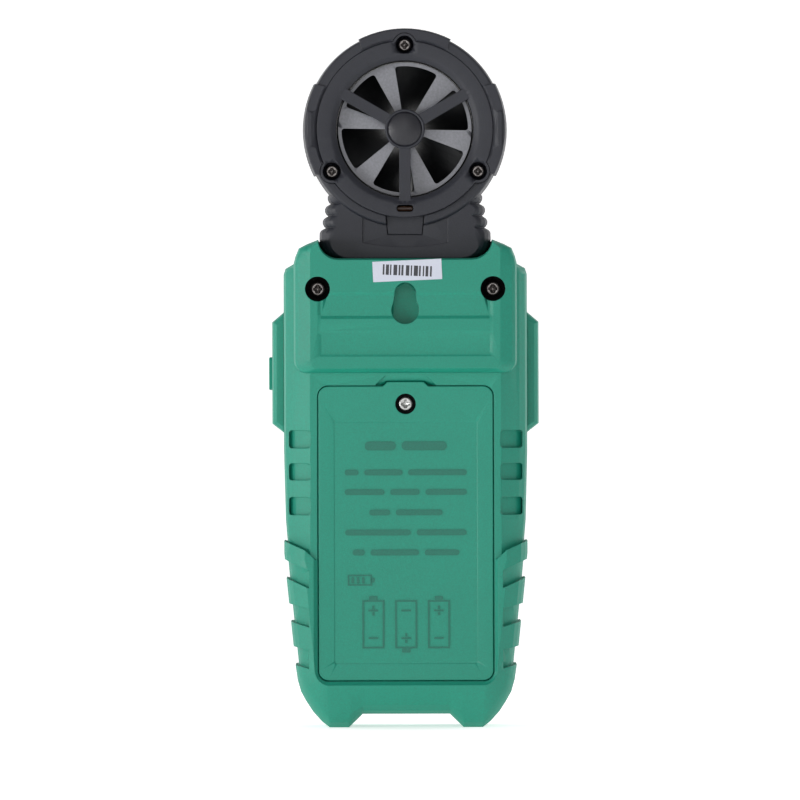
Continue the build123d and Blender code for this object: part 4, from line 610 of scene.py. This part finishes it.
class METER_OT_label(bpy.types.Operator):
    """Finish the paper label and print plain bars on it"""

    bl_idname = "meter.label"
    bl_label = "Label"

    def execute(self, context):
        skin("serial_label", "label_paper")
        bm = bmesh.new()
        low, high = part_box("serial_label")
        centre_x = (low[0] + high[0]) / 2 / MM
        centre_z = (low[2] + high[2]) / 2 / MM
        y1 = high[1] / MM
        turn = math.radians(LABEL_TURN)
        offset = -sum(LABEL_BARS) / 2
        for i, width in enumerate(LABEL_BARS):
            if i % 2 == 0:
                along = -(offset + width / 2)
                plate(bm, centre_x + along * math.cos(turn), centre_z + along * math.sin(turn), width,
                      LABEL_BAR_H, y1 - 0.01, y1 + INK, 0.0, -LABEL_TURN)
            offset += width
        closed(bm)
        place_mesh("label_bars", bm, "dark_ink", ROOT)
        return {"FINISHED"}


class METER_OT_display(bpy.types.Operator):
    """Finish the fascia, the window and the display, with digits and legends"""

    bl_idname = "meter.display"
    bl_label = "Display"

    def execute(self, context):
        skin("fascia", "black_film")
        skin("display_lens", "clear_acrylic")
        skin("lcd_frame", "white_nylon")
        skin("lcd_panel", "display_glass")
        skin("lcd_backlight", "milky_acrylic")
        skin("lcd_connector_strip", "display_rubber")
        low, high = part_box("lcd_panel")
        y1 = low[1] / MM + 0.02
        y0 = y1 - 0.08
        middle = (low[2] + high[2]) / 2 / MM
        bm = bmesh.new()
        # a large reading with a point, a small one below it and four bars of rising length
        for i, value in enumerate((1, 2, 4)):
            digit(bm, value, -10.5 + i * 9.5, middle + 3.0, 6.0, 12.5, 1.3, y0, y1)
        plate(bm, 4.0, middle - 3.6, 1.4, 1.4, y0, y1, 0.4)
        for i, value in enumerate((2, 3, 6)):
            digit(bm, value, -8.0 + i * 5.4, middle - 10.4, 3.0, 6.0, 0.7, y0, y1)
        for i in range(4):
            plate(bm, 16.5, middle + 8.6 - i * 2.6, 1.5 + i * 0.9, 1.2, y0, y1, 0.3)
        closed(bm)
        place_mesh("display_digits", bm, "display_ink", ROOT)
        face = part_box("fascia")[0][1] / MM
        bm = bmesh.new()
        for i, key in enumerate(KEYS):
            low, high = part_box(key)
            x = (low[0] + high[0]) / 2 / MM
            z = high[2] / MM + 2.2
            # one, two or three dashes over a key
            for k in range(i % 3 + 1):
                plate(bm, x + (k - (i % 3) / 2) * 2.6, z, 1.8, 0.7, face - 0.02, face + 0.05, 0.3)
        frame_plate(bm, 0.0, LENS_Z, *LENS_LINE, 0.35, face - 0.02, face + 0.05)
        closed(bm)
        place_mesh("fascia_print", bm, "white_ink", ROOT)
        return {"FINISHED"}


class METER_OT_keys(bpy.types.Operator):
    """Finish the front keys and the side key"""

    bl_idname = "meter.keys"
    bl_label = "Keys"

    def execute(self, context):
        for key in KEYS:
            skin(key, "grey_silicone")
        skin("side_key", "green_rubber")
        return {"FINISHED"}


class METER_OT_inside(bpy.types.Operator):
    """Finish the boards, cells and wiring inside"""

    bl_idname = "meter.inside"
    bl_label = "Inside"

    def execute(self, context):
        for node, material in INSIDE:
            skin(node, material)
        return {"FINISHED"}


class METER_OT_stage(bpy.types.Operator):
    """Set up the light table, the lights and the camera"""

    bl_idname = "meter.stage"
    bl_label = "Stage"

    def execute(self, context):
        settings = context.scene.meter_stage
        # a sheet 8 m wide, which stands up 3 m behind a wide bend
        bm = bmesh.new()
        sheet = Matrix.Diagonal((4.0, 3.0, 1.0, 1.0))
        bmesh.ops.create_grid(bm, x_segments=1, y_segments=2, size=1.0, matrix=sheet)
        wall = [v for v in bm.verts if v.co.y < -2.9]
        bmesh.ops.translate(bm, vec=(0.0, 1.4, 3.0), verts=wall)
        fold = [v for v in bm.verts if abs(v.co.y) < 0.1]
        bmesh.ops.translate(bm, vec=(0.0, -1.6, 0.0), verts=fold)
        crease = [e for e in bm.edges if all(v in fold for v in e.verts)]
        bmesh.ops.bevel(bm, geom=crease, offset=0.9, offset_type="OFFSET", segments=16, profile=0.5,
                        affect="EDGES", material=-1)
        bmesh.ops.recalc_face_normals(bm, faces=bm.faces)
        mesh = bpy.data.meshes.new("light_table_sweep")
        bm.to_mesh(mesh)
        bm.free()
        mesh.shade_smooth()
        mesh.materials.append(finish("light_table"))
        table = bpy.data.objects.new("light_table_sweep", mesh)
        context.scene.collection.objects.link(table)
        for name, place, size, power in (
                ("key_light", (0.95, 0.70, 0.03), 0.5, settings.key),
                ("fill_light", (0.1, 1.30, 0.5), 0.9, settings.fill),
                ("left_rim", (0.55, -0.25, 0.25), 0.35, settings.rim),
                ("right_rim", (-0.55, -0.25, 0.25), 0.35, settings.rim)):
            light = bpy.data.lights.new(name, "AREA")
            light.shape = "DISK"
            light.size = size
            light.energy = power
            lamp = bpy.data.objects.new(name, light)
            lamp.location = place
            lamp.rotation_euler = (Vector(LIGHT_AIM) - Vector(place)).to_track_quat("-Z", "Y").to_euler()
            context.scene.collection.objects.link(lamp)
        world = bpy.data.worlds.new("pale_room")
        world.use_nodes = True
        background = world.node_tree.nodes["Background"]
        background.inputs["Color"].default_value = (1.0, 1.0, 1.0, 1.0)
        background.inputs["Strength"].default_value = settings.sky
        context.scene.world = world
        context.scene.view_settings.view_transform = "Standard"
        camera = bpy.data.cameras.new("camera")
        camera.sensor_width = 36.0
        camera.lens = camera.sensor_width * settings.distance / settings.field
        camera.clip_start = 0.01
        view = bpy.data.objects.new("camera", camera)
        view.location = (CAMERA_X, settings.distance + 0.02, CAMERA_Z)
        view.rotation_euler = (math.radians(90.0), math.radians(CAMERA_ROLL), math.radians(180.0))
        context.scene.collection.objects.link(view)
        context.scene.camera = view
        return {"FINISHED"}


class METER_PT_finish(bpy.types.Panel):
    """Sidebar panel with the meter's settings and pieces"""

    bl_idname = "METER_PT_finish"
    bl_label = "Weather meter"
    bl_space_type = "VIEW_3D"
    bl_region_type = "UI"
    bl_category = "Meter"

    def draw(self, context):
        for settings in (context.scene.meter_finish, context.scene.meter_stage):
            for name in settings.bl_rna.properties.keys():
                if name not in ("rna_type", "name"):
                    self.layout.prop(settings, name)
        for operator in OPERATORS:
            self.layout.operator(operator.bl_idname)


# ------------------------------------------------------------------ what goes where
# places and sizes in millimetres
# rows of plain dashes on the door, from the top: height on the meter, height of a dash, dash lengths
MARK_GAP = 1.7
MARK_ROWS = (
    (81.7, 2.6, (9.0, 13.0)),
    (74.0, 1.7, (4.0, 11.0, 17.0)),
    (68.3, 1.7, (11.5, 8.5, 12.0)),
    (62.4, 1.7, (6.0, 13.5)),
    (56.6, 1.7, (19.0, 14.5)),
    (50.8, 1.7, (3.5, 14.0, 10.0)),
)
DOOR_FACE_Y = 18.25
CHARGE_Z = 42.8
CELL_MARK_Z = 30.0
CELL_PITCH = 9.5
# screw recesses painted black as shade: places, radius and the level that the painted shade ends at
CASE_WELLS = ((25.4, 127.2), (-25.4, 127.2))
CASE_WELL_R = 3.65
CASE_WELL_RIM = 21.2
DOOR_WELLS = ((0.0, 93.88),)
DOOR_WELL_R = 3.0
DOOR_WELL_RIM = 18.3
ROTOR_LAND_Y = 9.2
SHELL_SHARP = 12.0  # degrees; keeps the shallow steps of the shells crisp and their flats even
# dark seal between the neck's lower corners and the case
SEAL_X = 22.5
SEAL_Z = 139.2
SEAL_SIZE = (6.4, 4.0)
SEAL_HALF_T = 0.2
SEAL_R = 0.8
# plain bars on the label: its turn in degrees, height of a bar, ink thickness, then bar and gap by turns
LABEL_TURN = 2.5
LABEL_BAR_H = 3.0
INK = 0.003
LABEL_BARS = (0.5, 0.4, 0.9, 0.3, 0.4, 0.6, 1.1, 0.4, 0.5, 0.3, 0.6, 0.7, 1.0, 0.4, 0.4, 0.5, 1.2, 0.3,
              0.5, 0.6, 0.4, 0.4, 0.8, 0.5, 0.5)
# line printed round the display window
LENS_Z = 103.0
LENS_LINE = (51.4, 36.4)
# in metres, and the roll in degrees
LIGHT_AIM = (0.0, 0.0, 0.1)
CAMERA_X = 0.0016
CAMERA_Z = 0.095
CAMERA_ROLL = 0.15
KEYS = ("key_mode", "key_hold", "key_max_min", "key_unit", "key_power", "key_light")
INSIDE = (
    ("main_board", "solder_mask"), ("sensor_board", "solder_mask"), ("board_chips", "black_nylon"),
    ("buzzer", "black_nylon"), ("hall_sensor", "black_nylon"), ("key_switches", "black_nylon"),
    ("side_switch", "black_nylon"), ("battery_springs", "zinc_plated_steel"),
    ("battery_contacts", "zinc_plated_steel"), ("battery_1", "cell_sleeve"), ("battery_2", "cell_sleeve"),
    ("battery_3", "cell_sleeve"), ("battery_leads", "red_pvc"), ("sensor_lead", "display_rubber"),
    ("thermistor", "brown_resin"),
)
OPERATORS = (METER_OT_case, METER_OT_door, METER_OT_head, METER_OT_rotor, METER_OT_fasteners,
             METER_OT_label, METER_OT_display, METER_OT_keys, METER_OT_inside, METER_OT_stage)
CLASSES = (MeterFinish, MeterStage) + OPERATORS + (METER_PT_finish,)


def register():
    """Adds the classes and their settings to Blender."""
    for cls in CLASSES:
        bpy.utils.register_class(cls)
    bpy.types.Scene.meter_finish = PointerProperty(type=MeterFinish)
    bpy.types.Scene.meter_stage = PointerProperty(type=MeterStage)


def unregister():
    """Takes them out again."""
    del bpy.types.Scene.meter_stage
    del bpy.types.Scene.meter_finish
    for cls in reversed(CLASSES):
        bpy.utils.unregister_class(cls)


def main():
    """Builds every piece and the stage."""
    register()
    bpy.ops.meter.case()
    bpy.ops.meter.door()
    bpy.ops.meter.head()
    bpy.ops.meter.rotor()
    bpy.ops.meter.fasteners()
    bpy.ops.meter.label()
    bpy.ops.meter.display()
    bpy.ops.meter.keys()
    bpy.ops.meter.inside()
    bpy.ops.meter.stage()


if __name__ == "__main__":
    main()
